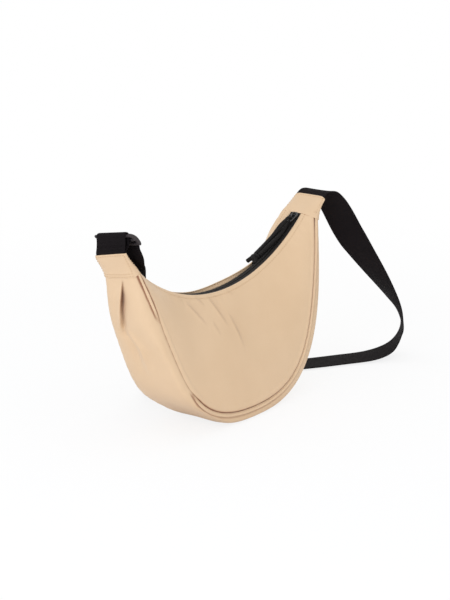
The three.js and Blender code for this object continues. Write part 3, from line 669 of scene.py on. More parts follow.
def webbing_rings(path, across, ribs=0.0):
    """Flat webbing: q runs from edge to edge, and the half thickness is its middle value with a slight
    swell at the two selvages, drawn in to the edge as the root of one less q to the twelfth power. Ribs
    add a ripple along the path to the upper face."""
    q = edge_to_edge(WEB_COLUMNS)
    swell = WEB_FLAT + SELVAGE_SWELL * bump(np.abs(q) - SELVAGE_AT, SELVAGE_WIDTH)
    half = STRAP_THICKNESS / 2 * swell * np.sqrt(1 - np.abs(q) ** 12)
    run = runs_of(path)
    wide = unit(across - np.sum(across * run, -1, keepdims=True) * run)
    up = np.cross(run, wide)
    flat = path[:, None] + wide[:, None] * (q * STRAP_WIDTH / 2)[None, :, None]
    raised = np.broadcast_to(ribs, len(path))[:, None] * (1 - q**8) + half
    over = flat + up[:, None] * raised[..., None]
    under = flat - up[:, None] * half[None, :, None]
    return np.concatenate([over, under[:, ::-1]], axis=1)


route = smooth_line(STRAP_ROUTE, STRAP_STEPS)
strap_path = route[:, :3] / MM
strap = add_loft("strap", webbing_rings(strap_path, route[:, 3:]))
settle(strap, None, "webbing", WEBBING, "strap")
strap_length = running_length(strap_path)[-1] * MM
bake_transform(strap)
print("strap", round(strap_length, 3), "m long")

# %% [markdown]
# ## The bag's own lines
# Every sewn piece of the shell is cut from three lines: the zip's arc, the seam outline seen from the
# front, and the seam's distance from the middle plane. Written as functions of u, from the left horn at
# -1 to the right horn at 1, they let panels, gusset, piping, zip and lining meet without fitting.

# %% Zip arc and seam outline
ZIP_RADIUS = 224.0
ZIP_LOW = 135.0
ZIP_HALF_ANGLE = np.radians(43)
ZIP_MOUTH = 14.0
SEAM_BASE = 10.0
SEAM_BASE_REACH = 112.0
FLANK_REACH = 136.0
FLANK_LEAN = np.radians(20)
HORN_DEPTH = 7.9
HORN_DEPTH_TILT = np.radians(-12)
FRONT_DEPTH, BACK_DEPTH, HORN_HALF_WIDTH = 51.5, 39.0, 20.0
PANEL_BULGE, PANEL_BULGE_HORN = 9.0, 1.0
GUSSET_BULGE_BASE, GUSSET_BULGE_HORN = 14.0, 8.0
BACK_SLACKS = [(9.8, -0.3, 0.32)]
FABRIC = 1.2
PIPING_RADIUS = 1.65
SIDES = {"front": -1, "back": 1}
SEAM_SAMPLES = 2001


def zip_point(angle, y, drop):
    """Point of the zip: a circle about a centre above the bag, its radius grown by a drop into the bag."""
    angle, y, drop = np.broadcast_arrays(angle, y, drop)
    radius = ZIP_RADIUS + drop
    return np.stack([radius * np.sin(angle), y, ZIP_LOW + ZIP_RADIUS - radius * np.cos(angle)], -1)


ZIP_END = zip_point(ZIP_HALF_ANGLE, 0.0, 0.0)[[0, 2]]
HORN_END = ZIP_END + HORN_DEPTH * np.array([np.cos(HORN_DEPTH_TILT), np.sin(HORN_DEPTH_TILT)])


def seam_table():
    """Half of the seam outline: a cubic curve that leaves the base level and reaches the horn with the
    flank's lean, as distance along it, place and direction."""
    t = np.linspace(0, 1, SEAM_SAMPLES)[:, None]
    level = np.array([SEAM_BASE_REACH, SEAM_BASE])
    lean = HORN_END - FLANK_REACH * np.array([np.sin(FLANK_LEAN), np.cos(FLANK_LEAN)])
    base = np.array([0.0, SEAM_BASE])
    place = (1 - t) ** 3 * base + 3 * (1 - t) ** 2 * t * level + 3 * (1 - t) * t**2 * lean + t**3 * HORN_END
    return running_length(place), place, runs_of(place)


SEAM_AT, SEAM_PLACE, SEAM_RUN = seam_table()
SEAM_HALF = SEAM_AT[-1]


def seam_outline(u):
    """x, z and the outward direction of the seam at u, mirrored for the left half."""
    at = np.abs(u) * SEAM_HALF
    x, z = (np.interp(at, SEAM_AT, SEAM_PLACE[:, k]) for k in range(2))
    run_x, run_z = (np.interp(at, SEAM_AT, SEAM_RUN[:, k]) for k in range(2))
    hand = np.where(u < 0, -1.0, 1.0)
    return hand * x, z, np.stack([hand * run_z, np.zeros_like(x), -run_x], -1)


# %% Seam depth
def bells(u, rows):
    """Sum of bells, each row an amount, a place and a width, that dies out at the horns by u to the eighth
    power."""
    return sum(amount * bump(u - at, width) for amount, at, width in rows) * (1 - u**8)


def seam_depth(u, side):
    """Distance of the front or back seam from the middle plane: deepest at the base, by u squared, and at
    the back less a bell where that side hangs slack."""
    middle = FRONT_DEPTH if side < 0 else BACK_DEPTH
    slack = bells(u, BACK_SLACKS) if side > 0 else 0.0
    return middle + (HORN_HALF_WIDTH - middle) * u * u - slack


def seam_point(u, side):
    """Point of the front or back seam: the outline, moved its own depth off the middle plane."""
    x, z, _ = seam_outline(u)
    return np.stack([x, side * seam_depth(u, side), z], -1)


print("seam", round(2 * SEAM_HALF), "mm from horn to horn, zip", round(2 * ZIP_HALF_ANGLE * ZIP_RADIUS), "mm")

# %% [markdown]
# ## Front and back panel
# Each panel hangs between the zip's lip and the seam. Its cloth is folded under at the lip and sewn down
# with a row of stitches, it rolls in towards the piping, and the pull of the zip leaves a few slanted
# creases below the lowest part of the mouth. Simulated cloth would crease elsewhere after each change, so
# they are written as steps across chosen lines, and the sheet is lofted with both its faces.

# %% Panel surface
LIP_STITCH = 4.2
STITCH_PITCH = 3.2
SEAM_DIVE = 3.4
CLOSED_LOW, CLOSED_HIGH, CLOSED_FADE, BEAD_CLOSED = 0.36, 0.72, 0.12, 0.82
SHADE_LINE_AT, SHADE_LINE_LEAST, SHADE_LINE_GROWTH, PANEL_SEAM_PAINTED_SHADE = 1.67, 0.3, 0.45, 0.95
LIP_BELLS = [(0.2, 2.0, 1.5), (0.12, 6.4, 1.9), (-0.2, 0.0, 0.9)]
LIP_GROOVE, GROOVE_WIDTH, GROOVE_LEVEL, GROOVE_DIMPLE = 0.18, 0.6, 0.75, 0.45
SEAM_ROLL, SEAM_ROLL_AT, SEAM_ROLL_WIDTH = 0.8, 5.5, 3.4
SEAM_PUCKER, LIP_PUCKER = (0.13, 13.0, 2.2, 5.0, 6.0), (0.12, 14.0, 2.0, 8.0, 7.0)
PANEL_SAG, SAG_LEVEL = 2.4, 0.42
PANEL_WANDER, WANDER_SHARE = (31.0, 13.0, 1.0), 0.6
PANEL_WAVES = [(0.9, 33.0, 50.0, 0.7), (0.5, 17.0, -29.0, 0.0)]
NORMAL_STEP = 0.01
PANEL_ROWS, PANEL_COLUMNS = 380, 118
HORN_PUFF, PUFF_AT, PUFF_WIDTH = {-1: 1.5, 1: 7.5}, 0.84, 0.2
LIP_RISES = [(2.0, 0.08, 0.32), (1.8, 0.86, 0.18)]
LIP_RISE_REACH = 32.0
LIP_FLARE, LIP_FLARE_REACH = 2.4, 7.0
HORN_TUCK, TUCK_START, TUCK_REACH, LIP_TUCK = 3.0, 0.966, 0.02, 0.3
FLANK_SPREAD, FLANK_AT, FLANK_WIDTH = 0.9, 0.62, 0.26
CREASE_SOFT, CREASE_START, CREASE_FADE = 1.35, 0.3, 0.5
CREASE_CLIMB, CREASE_BACK, CREASE_EDGE = 1.6, 3.6, 1.2
CREASE_DROP, CREASE_PAINTED_SHADE = 1.8, 0.13
FRONT_CREASES = [
    ((-88.0, 151.0), (-74.0, 136.5), 0.6, 2.0),
    ((-74.0, 140.0), (-48.0, 105.0), 1.3, 2.3),
    ((-51.5, 140.0), (-39.0, 125.0), 0.9, 1.8),
    ((-30.5, 138.0), (-15.5, 95.0), 1.5, 2.4),
    ((-8.0, 114.0), (-1.0, 66.0), 1.2, 2.3),
    ((-40.0, 111.0), (-34.0, 91.0), 0.6, 2.0),
    ((4.5, 134.5), (14.0, 125.5), 0.6, 1.8),
]
BACK_CREASES = [
    ((64.0, 139.0), (40.0, 105.0), 1.3, 2.4),
    ((20.0, 131.0), (10.0, 90.0), 1.4, 2.4),
    ((-34.0, 134.0), (-26.0, 104.0), 1.1, 2.2),
]


def panel_base(u, v, side):
    """Lip point plus v of the way to the seam, its unit normal, and the way's length."""
    def frame_at(w):
        """Lip point and seam point at one place along the bag."""
        return zip_point(w * ZIP_HALF_ANGLE, side * ZIP_MOUTH / 2, 0.0), seam_point(w, side)

    lip, seam = frame_at(u)
    later = frame_at(np.minimum(u + NORMAL_STEP, 1.0))
    earlier = frame_at(np.maximum(u - NORMAL_STEP, -1.0))
    fall = seam - lip
    normal = unit(np.cross(fall, sum(later) - sum(earlier)))
    normal = normal * np.where(normal[..., 1:2] * side < 0, -1.0, 1.0)
    return lip + fall * v[..., None], normal, np.linalg.norm(fall, axis=-1)


# %% Creases and the cloth beside the piping
def crease_lines(x, z, creases):
    """Slanted creases along straight lines: on one side the cloth climbs slowly to the line, past it the
    cloth drops sharply below its level and comes back slowly. Also the shade painted along them: most at the
    line, a narrow band before it and a slow fade past it."""
    height, fold = np.zeros_like(x), np.zeros_like(x)
    for start, end, size, width in creases:
        width = CREASE_SOFT * width
        run = np.subtract(end, start)
        length = np.hypot(*run)
        along = ((x - start[0]) * run[0] + (z - start[1]) * run[1]) / length**2
        aside = ((z - start[1]) * run[0] - (x - start[0]) * run[1]) / length
        share = size * smoothstep(along / CREASE_START)
        share = share * (1 - smoothstep((along - CREASE_FADE) / (1 - CREASE_FADE)))
        before = np.exp(np.minimum(aside, 0) / (CREASE_CLIMB * width))
        after = np.exp(-np.maximum(aside, 0) / width)
        drop = CREASE_DROP * after - (CREASE_DROP - 1) * bump(aside, CREASE_BACK * width)
        height += share * np.where(aside < 0, before, drop)
        # Painted shade along each crease.
        fold += CREASE_PAINTED_SHADE * share * np.where(aside < 0, bump(aside, CREASE_EDGE), after)
    return height, fold


def seam_closed(u, side):
    """Where the front seam closes over its bead, on the flank that the gusset leans over: up and down by
    smooth steps."""
    opening = smoothstep((-u - CLOSED_LOW) / CLOSED_FADE) * (1 - smoothstep((-u - CLOSED_HIGH) / CLOSED_FADE))
    return opening if side < 0 else 0 * opening


def bead_radius(u, side):
    """Radius of the piping's bead, smaller where the seam closes over it."""
    return PIPING_RADIUS * (1 - BEAD_CLOSED * seam_closed(u, side))


def seam_dive(distance, radius):
    """Depth of the cloth beside the piping: level to a gap outside the bead, then down along its side."""
    return SEAM_DIVE * smoothstep((2 * radius - distance) / radius)


def seam_painted_shade(distance, radius, spread=1.0):
    """Painted shade beside the piping: a narrow bell just outside the bead, as wide as a spread says."""
    return bump(distance - SHADE_LINE_AT * radius, (SHADE_LINE_LEAST + SHADE_LINE_GROWTH * radius) * spread)


def wandering(along, slow, fast, phase):
    """Uneven phase: a slow sine of the distance along and a weaker, faster one."""
    return np.sin(along / slow) + WANDER_SHARE * np.sin(along / fast + phase)


def puckers(along, distance, wander, height, pitch, stray, at, width):
    """Ripples beside a seam: a wave along it whose phase strays, under a bell across it."""
    return height * np.sin(2 * np.pi * along / pitch + stray * wander) * bump(distance - at, width)


# %% Panel finish
def panel_finish(u, v, side, length, x, z):
    """How far the sewn cloth stands off the plain panel, and its painted-shade values, along the creases and
    beside the piping: a folded hem with a stitch groove at the lip, a roll into the seam, puckers beside
    both, creases and slow waves."""
    lip, seam = v * length, (1 - v) * length
    along_lip = u * ZIP_HALF_ANGLE * ZIP_RADIUS
    along_seam = u * SEAM_HALF
    dimple = GROOVE_LEVEL + GROOVE_DIMPLE * np.cos(2 * np.pi * along_lip / STITCH_PITCH)
    hem = sum(height * bump(lip - at, width) for height, at, width in LIP_BELLS)
    hem = hem - LIP_GROOVE * dimple * bump(lip - LIP_STITCH, GROOVE_WIDTH)
    roll = SEAM_ROLL * bump(seam - SEAM_ROLL_AT, SEAM_ROLL_WIDTH) - seam_dive(seam, bead_radius(u, side))
    wander = wandering(along_seam, *PANEL_WANDER)
    pucker = puckers(along_seam, seam, wander, *SEAM_PUCKER)
    pucker += puckers(along_lip, lip, wander, *LIP_PUCKER)
    middle = np.sin(np.pi * v) * (1 - u * u)
    wave = sum(size * np.sin(x / wide + z / high + phase) for size, wide, high, phase in PANEL_WAVES)
    sag = PANEL_SAG * middle * (v - SAG_LEVEL)
    creases, fold = crease_lines(x, z, FRONT_CREASES if side < 0 else BACK_CREASES)
    spread = 1 + FLANK_SPREAD * bump(u - FLANK_AT, FLANK_WIDTH) * (side < 0)
    # Painted shade along the piping, spread wider on the front flank.
    fold = fold + PANEL_SEAM_PAINTED_SHADE * seam_painted_shade(seam, bead_radius(u, side), spread)
    return hem + roll + pucker + wave * middle + sag + creases, fold


def lip_rise(u):
    """How far the back lip stands up: a bell at each of two places, fading out at the horns."""
    return bells(u, LIP_RISES)


def panel_place(u, v, side, depth, finished=True):
    """Panel cloth: the base, a swell of four v times one less v, the finish, less a depth into the bag and a
    tuck under the tabs, and at the back a lip that stands up a little in two places. Also the painted-shade
    values."""
    place, normal, length = panel_base(u, v, side)
    bulge = (PANEL_BULGE + (PANEL_BULGE_HORN - PANEL_BULGE) * u * u) * 4 * v * (1 - v)
    bulge = bulge + HORN_PUFF[side] * bump(np.abs(u) - PUFF_AT, PUFF_WIDTH) * 4 * v * (1 - v)
    fold = np.zeros_like(bulge)
    if finished:
        finish, fold = panel_finish(u, v, side, length, place[..., 0], place[..., 2])
        tuck = HORN_TUCK * smoothstep((np.abs(u) - TUCK_START) / TUCK_REACH)
        past_lip = LIP_TUCK + (1 - LIP_TUCK) * smoothstep(v * length / LIP_STITCH)
        bulge = bulge + finish - tuck * past_lip
    if finished and side > 0:
        rise = lip_rise(u)
        flare = LIP_FLARE * rise * smoothstep(1 - v * length / LIP_FLARE_REACH)
        rise = rise * smoothstep(1 - v * length / LIP_RISE_REACH)
        angle = u * ZIP_HALF_ANGLE
        place = place + rise[..., None] * (zip_point(angle, 0.0, -1.0) - zip_point(angle, 0.0, 0.0))
        place[..., 1] += flare
    return place + normal * (bulge - depth)[..., None], fold


def panel_point(u, v, side, depth, finished=True):
    """Panel cloth without its painted-shade values."""
    return panel_place(u, v, side, depth, finished)[0]


# %% Panel sheets
def ends_fine(count, amount=0.7):
    """Numbers from 0 to 1, closer together at both ends: t less a share of a sine of one turn."""
    t = np.linspace(0, 1, count)
    return t - amount * np.sin(2 * np.pi * t) / (2 * np.pi)


def sheet_rings(outer, inner, rim=0.45):
    """Ring over the outer face and back under the inner one, with one more point at each edge, pushed
    out past the cloth's middle so that the edge is round."""
    middle = (outer + inner) / 2
    start = middle[:, :1] + rim * unit(middle[:, :1] - middle[:, 1:2])
    end = middle[:, -1:] + rim * unit(middle[:, -1:] - middle[:, -2:-1])
    return np.concatenate([start, outer, end, inner[:, ::-1]], axis=1)


def sheet_shade_marks(outer):
    """Painted-shade values in the order of a sheet's ring: those of the outer face and its edges, none
    inside.
    """
    return np.concatenate([outer[:, :1], outer, outer[:, -1:], np.zeros_like(outer)], axis=1)


def panel_sheet(side, v, depth, thickness, end=1.0, rows=PANEL_ROWS):
    """Closed sheet of panel cloth: rings over a face at one depth and back under it at another, for u from
    one end to the other, and their painted-shade values."""
    u = np.linspace(-end, end, rows)[:, None]
    u, v = np.broadcast_arrays(u, v[None, :])
    outer, shade_marks = panel_place(u, v, side, depth)
    return sheet_rings(outer, panel_point(u, v, side, depth + thickness)), sheet_shade_marks(shade_marks)


for label, side in SIDES.items():
    rings, shade_marks = panel_sheet(side, ends_fine(PANEL_COLUMNS), 0.0, FABRIC)
    panel = add_loft(f"{label}_panel_cloth", rings, shade_marks=shade_marks)
    settle(panel, "bag", "shell_fabric", SHELL, f"{label}_panel")

# %% [markdown]
# ## Gusset
# One strip of cloth goes round the sides and the base. The floor presses it flat underneath, and under
# each tab a pleat opens: it is closed at the tab's lower stitches, gapes about 30 mm down and fades out.
# A pleat cut into a flat mesh needs loops by hand, so here the strip's own formula carries it, with one
# steep side and one slow side as the photograph shows, and more columns near the middle.

# %% Gusset surface
GUSSET_ROWS, GUSSET_COLUMNS = 400, 116
GUSSET_SQUARE, GUSSET_ROUND = 4.8, 0.46
GUSSET_FILLS = [(10.8, 0.53, 0.4), (8.0, -0.82, 0.15), (-7.1, -0.29, 0.12)]
OVERHANG, OVERHANG_REACH, LEAN_END = 3.0, 14.0, 0.66
PLEAT_TOP, PLEAT_FULL, PLEAT_FADE, PLEAT_END = 6.5, 36.0, 52.0, 84.0
PLEAT_DEPTH, PLEAT_UNDER, PLEAT_START, PLEAT_POWER = 6.5, 2.6, 5.0, 0.7
PLEAT_LIP, PLEAT_LIP_AT, PLEAT_LIP_WIDTH = 0.8, 2.4, 2.0
PLEAT_FRONT, PLEAT_REAR = (0.7, 3.2, 4.0), (0.5, 4.0)
PLEAT_LINE = (-6.7, 0.27, -0.00095)
SECOND_START, SECOND_FULL, SECOND_FADE, SECOND_END = 60.0, 84.0, 92.0, 132.0
SECOND_Y, SECOND_SHIFT, SHIFT_START, SHIFT_REACH = -1.5, 9.0, 66.0, 26.0
SECOND_RIDGE, SECOND_VALLEY = (2.6, 2.0, 6.0), (3.0, -8.0, 5.0)
SHADE, SHADE_EDGE, SHADE_FADE, SHADE_END = 0.85, 4, 24.0, 74.0
LEAN_FADE = 0.12
GUSSET_SEAM_PAINTED_SHADE, FLANK_PAINTED_SHADE, FLANK_START, FLANK_FADE = 0.45, 0.4, 0.2, 0.3
GUSSET_DIVE, GUSSET_PUCKER = 0.6, (0.14, 13.0, 2.2, 6.0, 5.5)
GUSSET_WANDER = (27.0, 11.0, 2.0)
SLOW_WAVE, SLOW_PITCH, SLOW_PHASE = 0.7, 23.0, 0.6
SLANT_WAVE, SLANT_PITCH, SLANT_ACROSS = 0.5, 41.0, 15.0
FLOOR_SOFT = 1.6


def gusset_swell(u):
    """Height of the gusset's swell: from the horns to the base by a power, with bells where the filled bag
    stands fuller or hangs slacker."""
    swell = GUSSET_BULGE_HORN + (GUSSET_BULGE_BASE - GUSSET_BULGE_HORN) * (1 - np.abs(u)) ** 1.6
    return swell + bells(u, GUSSET_FILLS)


# %% Pleat and gusset finish
def pleat(u, y):
    """Pleat under a tab, as its depth, the way that its cloth runs in under the rear side, and the shade
    painted in it: a valley along a bent line, sharp at the rear and slow in front, that opens from the tab's
    stitches and fades lower down, where a soft second fold turns to the front."""
    down = (1 - np.abs(u)) * SEAM_HALF
    below = down - PLEAT_TOP
    at_top, slope, bend = PLEAT_LINE
    aside = y - (at_top + slope * below + bend * below**2)
    opened = smoothstep(below / (PLEAT_FULL - PLEAT_TOP))
    faded = smoothstep((down - PLEAT_FADE) / (PLEAT_END - PLEAT_FADE))
    slow = PLEAT_FRONT[0] + PLEAT_FRONT[1] * opened + PLEAT_FRONT[2] * faded
    front_side = np.exp(np.minimum(aside, 0) / slow)
    rear_side = bump(aside, PLEAT_REAR[0] + PLEAT_REAR[1] * faded)
    valley = np.where(aside < 0, front_side, rear_side) * smoothstep(below / PLEAT_START)
    share = opened * (1 - faded)
    lip = PLEAT_LIP * bump(aside - PLEAT_LIP_AT, PLEAT_LIP_WIDTH) * share
    turn_y = SECOND_Y + SECOND_SHIFT * (1 - smoothstep((down - SHIFT_START) / SHIFT_REACH))
    second = smoothstep((down - SECOND_START) / (SECOND_FULL - SECOND_START))
    second = second * (1 - smoothstep((down - SECOND_FADE) / (SECOND_END - SECOND_FADE)))
    (rise, rise_at, rise_width), (drop, drop_at, drop_width) = SECOND_RIDGE, SECOND_VALLEY
    off = y - turn_y
    soft = second * (rise * bump(off - rise_at, rise_width) - drop * bump(off - drop_at, drop_width))
    deep = share**PLEAT_POWER * valley
    # Painted shade in the pleat's valley, fading out lower down.
    shade = np.where(aside < 0, valley, smoothstep(SHADE_EDGE * valley))
    shade = SHADE * shade * opened**PLEAT_POWER
    shade = shade * (1 - smoothstep((down - SHADE_FADE) / (SHADE_END - SHADE_FADE)))
    return PLEAT_DEPTH * deep - lip + soft, PLEAT_UNDER * deep * valley, shade


def gusset_finish(u, v, y, front, back):
    """How far the sewn cloth stands off the plain gusset: rolls into both seams, puckers beside them, and
    slow waves that die out at the horns."""
    along = u * SEAM_HALF
    wander = wandering(along, *GUSSET_WANDER)
    roll = -GUSSET_DIVE * (seam_dive(front, bead_radius(u, -1)) + seam_dive(back, bead_radius(u, 1)))
    pucker = sum(puckers(along, distance, wander, *GUSSET_PUCKER) for distance in (front, back))
    middle = np.sin(np.pi * v)
    wave = SLOW_WAVE * np.sin(along / SLOW_PITCH + SLOW_PHASE) * middle
    wave = wave + SLANT_WAVE * np.sin(along / SLANT_PITCH - y / SLANT_ACROSS)
    return roll + pucker + wave * middle * (1 - u**8)


def gusset_place(u, v, depth, finished=True):
    """Gusset cloth: the seam outline moved outward by a squarish swell, a root of one less a power of the
    distance from the middle, and by the finish, less a depth. Its front edge leans out over the seam, and
    heights below the floor are pressed up to it along a soft corner. Also the painted-shade values, in the
    pleat and along both seams."""
    x, z, outward = seam_outline(u)
    front, back = seam_depth(u, -1), seam_depth(u, 1)
    width = front + back
    y = v * width - front
    swell = gusset_swell(u) * (1 - np.abs(2 * v - 1) ** GUSSET_SQUARE) ** GUSSET_ROUND
    lean = -OVERHANG * np.sin(np.pi * np.clip(v * width / OVERHANG_REACH, 0, 1))
    lean = lean * (1 - u**8) * (1 - smoothstep((-u - LEAN_END) / LEAN_FADE))
    fold = np.zeros_like(swell)
    if finished:
        deep, under, fold = pleat(u, y)
        from_front, from_back = (np.hypot(across * width, swell) for across in (v, 1 - v))
        swell = swell + gusset_finish(u, v, y, from_front, from_back) - deep
        lean = lean + under
        # Painted shade along both seams beside the piping, stronger on the left flank.
        lines = seam_painted_shade(from_front, bead_radius(u, -1)) + seam_painted_shade(from_back, bead_radius(u, 1))
        tone = GUSSET_SEAM_PAINTED_SHADE + FLANK_PAINTED_SHADE * smoothstep((-u - FLANK_START) / FLANK_FADE)
        fold = np.maximum(fold, tone * lines)
    place = np.stack([x, y + lean, z], -1) + outward * (swell - depth)[..., None]
    low = place[..., 2] - depth
    place[..., 2] = depth + (low + np.sqrt(low * low + FLOOR_SOFT**2)) / 2
    return place, fold


def gusset_point(u, v, depth, finished=True):
    """Gusset cloth without its painted-shade values."""
    return gusset_place(u, v, depth, finished)[0]


# %% Gusset sheet
def grid_normals(grid):
    """Unit normals of a grid of points: the cross product of its steps across and along."""
    return unit(np.cross(np.gradient(grid, axis=1), np.gradient(grid, axis=0)))


def middle_fine(count, amount=0.68):
    """Numbers from 0 to 1, closer together at both ends and in the middle."""
    t = np.linspace(0, 1, count)
    return t - amount * np.sin(4 * np.pi * t) / (4 * np.pi)


def gusset_sheet(v, depth, thickness, end=1.0, rows=GUSSET_ROWS):
    """Closed sheet of gusset cloth, its inner face a thickness along the normals, and its painted-shade
    values.
    """
    u = np.linspace(-end, end, rows)[:, None]
    u, v = np.broadcast_arrays(u, v[None, :])
    outer, shade_marks = gusset_place(u, v, depth)
    return sheet_rings(outer, outer - thickness * grid_normals(outer)), sheet_shade_marks(shade_marks)


rings, shade_marks = gusset_sheet(middle_fine(GUSSET_COLUMNS), 0.0, FABRIC)
gusset = add_loft("gusset_cloth", rings, shade_marks=shade_marks)
settle(gusset, "bag", "shell_fabric", SHELL, "gusset")

# %% [markdown]
# ## Piping
# A bead of the same cloth is sewn into each seam. It is a cord in a narrow strip, so it is a round tube
# along the seam that is not perfectly even: it swells and thins a little between the stitches that
# hold it. A bevelled curve could do it too, but the loft takes a radius that changes along the way.

# %% Piping beads
PIPING_ROWS = 520
PIPING_END = 0.982
PIPING_TAPER, PIPING_THIN, PIPING_PAINTED_SHADE = 24.0, 0.6, 0.8
PIPING_SINK = 1.6
BEAD_SIDES = 14
BEAD_RIPPLE, RIPPLE_PITCH = 0.03, 3.4
BEAD_DRIFT, DRIFT_SLOW, DRIFT_FAST = 0.04, 17.0, 7.3

for label, side in SIDES.items():
    seam_u = np.linspace(-PIPING_END, PIPING_END, PIPING_ROWS)
    along = seam_u * SEAM_HALF
    uneven = 1 + BEAD_RIPPLE * np.sin(2 * np.pi * along / RIPPLE_PITCH)
    uneven = uneven + BEAD_DRIFT * np.sin(along / DRIFT_SLOW) * np.sin(along / DRIFT_FAST)
    taper = smoothstep((PIPING_END - np.abs(seam_u)) * SEAM_HALF / PIPING_TAPER)
    taper = PIPING_THIN + (1 - PIPING_THIN) * taper
    inward = unit(np.array([0.0, -side, 0.0]) - seam_outline(seam_u)[2])
    closed = seam_closed(seam_u, side)
    path = seam_point(seam_u, side) + PIPING_SINK * closed[:, None] * inward
    rings = tube_rings(path, bead_radius(seam_u, side) * uneven * taper, BEAD_SIDES, (0, 1, 0))
    # Painted shade on the bead where the seam closes over it, so the seam reads as one dark line.
    shade_marks = np.repeat(PIPING_PAINTED_SHADE * closed[:, None], BEAD_SIDES, axis=1)
    piping = add_loft(f"{label}_piping_bead", rings, shade_marks=shade_marks)
    settle(piping, "bag", "shell_fabric", SHELL, f"{label}_piping")

# %% [markdown]
# ## Lining
# Inside the shell hangs a thin lining. It takes the shell's own formulas a little deeper, so it follows
# the same creases and never pokes through them, and it ends below the open part of the pleats.

# %% Lining sheets
LINING_THICKNESS, LINING_TRIM, LINING_END = 0.6, 0.06, 0.8
PANEL_LINING_DEPTH, GUSSET_LINING_DEPTH = 2.95, 1.9
LINING_ROWS, LINING_COLUMNS = 160, 60
GUSSET_LINING_END = 0.69

lining_v = np.linspace(LINING_TRIM, 1 - LINING_TRIM, LINING_COLUMNS)
linings = {}
for label, side in SIDES.items():
    linings[f"{label}_lining"] = panel_sheet(
        side, lining_v, PANEL_LINING_DEPTH, LINING_THICKNESS, LINING_END, LINING_ROWS,
    )[0]
linings["gusset_lining"] = gusset_sheet(
    lining_v, GUSSET_LINING_DEPTH, LINING_THICKNESS, GUSSET_LINING_END, LINING_ROWS,
)[0]
for node, rings in linings.items():
    settle(add_loft(f"{node}_cloth", rings), "bag", "lining_fabric", LINING, node)

# %% [markdown]
# ## Zip
# The zip's two tapes lie just under the lips, meet in the middle of the mouth and turn down inside the
# panels, where they are sewn. The coils sit on their inner side, each one a single thread wound in a
# flattened helix. A row of separate teeth would be another kind of zip.

# %% Zip tapes and coils
TAPE_THICKNESS, TAPE_DROP, TAPE_SPLIT, TAPE_TUCK = 0.7, 0.6, 1.4, 6.0
TUCK_DEPTH = 1.9
COIL_DROP, COIL_WIDTH, COIL_HEIGHT, COIL_PITCH, COIL_THREAD = 2.175, 2.4, 1.5, 1.3, 0.3
COIL_END = 0.98 * ZIP_HALF_ANGLE
TAPE_ROWS, TAPE_COLUMNS, TAPE_RIM = 240, 13, 0.2
COIL_SIDES, COIL_STEPS = 6, 10


def tape_face(side, depth):
    """Tape from its split edge out to the fold under the lip, and down inside the panel: straight columns
    between four lines."""
    u = np.linspace(-1, 1, TAPE_ROWS)
    angle = u * ZIP_HALF_ANGLE
    length = panel_base(u, np.zeros_like(u), side)[2]
    split = zip_point(angle, side * TAPE_SPLIT / 2, TAPE_DROP + depth)
    tucked = panel_point(u, np.zeros_like(u), side, TUCK_DEPTH + 0 * u, False)
    fold = zip_point(angle, tucked[:, 1], TAPE_DROP + depth)
    tuck = [
        panel_point(u, share * TAPE_TUCK / length, side, TUCK_DEPTH + depth + 0 * u, False)
        for share in (0.5, 1.0)
    ]
    flat = np.linspace(0, 1, TAPE_COLUMNS)
    columns = split[:, None] + (fold - split)[:, None] * flat[None, :, None]
    return np.concatenate([columns, tuck[0][:, None], tuck[1][:, None]], axis=1)


def coil_path(side):
    """Flattened helix: the angle along the zip grows steadily while the section goes round an oval."""
    turns = 2 * COIL_END * ZIP_RADIUS / COIL_PITCH
    t = np.linspace(0, 1, int(turns * COIL_STEPS))
    round_angle = 2 * np.pi * turns * t
    across = TAPE_SPLIT / 2 + COIL_WIDTH / 2 + (COIL_WIDTH / 2 - COIL_THREAD) * np.cos(round_angle)
    drop = COIL_DROP + COIL_HEIGHT / 2 + (COIL_HEIGHT / 2 - COIL_THREAD) * np.sin(round_angle)
    return zip_point(COIL_END * (2 * t - 1), side * across, drop)


for label, side in SIDES.items():
    rings = sheet_rings(tape_face(side, 0.0), tape_face(side, TAPE_THICKNESS), TAPE_RIM)
    tape = add_loft(f"zip_tape_{label}_weave", rings)
    settle(tape, "bag", "zip_tape", TAPE, f"zip_tape_{label}")
    rings = tube_rings(coil_path(side), COIL_THREAD, COIL_SIDES, (0, 0, 1))
    coil = add_loft(f"zip_coil_{label}_thread", rings)
    settle(coil, "bag", "zip_tape", COIL, f"zip_coil_{label}")

# %% [markdown]
# ## Tabs
# At each horn a sleeve of folded cloth closes the bag and holds the webbing. It is sewn round the horn,
# over the gusset and both panels, and flattens towards the webbing. A sleeve could be bridged between two
# edge loops by hand. Here every column of it is a cubic curve that leaves the horn along the bag's cloth
# and arrives at the mouth along the webbing, so the sleeve runs smoothly out of the bag.

# %% Tab surface
TAB_WALL, TAB_LIFT, TAB_LAP, TAB_ROOM = 0.5, 0.9, 0.42, 1.1
TAB_HALF_WIDTH = 20.2
TAB_COLUMNS, OUTSIDE_ROWS, INSIDE_ROWS = 44, 44, 22
MOUTH_SHARE, EDGE_SHARE = 0.34, 0.97
TAB_PAST, PAST_START = 1.1, 0.75
LIP_COVER = 3.6
SLEEVE_REACH, LEAVE_STEP = 0.9, 2.0
RIM_ROUND, HEM_ROUND = 0.4, 0.3
PLY_SPACING = 1.75
TABS = {
    "left": {
        "hand": -1, "length": 23.0, "rise": 45.0, "exit": 90.0, "roll": -12.0, "plies": 2, "skirt": 8.2,
        "slant": 3.4, "corner": 0.5, "lean": 64.0, "notch": 4.0,
    },
    "right": {
        "hand": 1, "length": 21.0, "rise": 34.0, "exit": 38.0, "roll": 0.0, "plies": 1, "skirt": 8.6,
        "slant": 0.0, "corner": 2.2, "lean": 38.0, "notch": 0.0,
    },
}
TAB_ACROSS = edge_to_edge(TAB_COLUMNS)


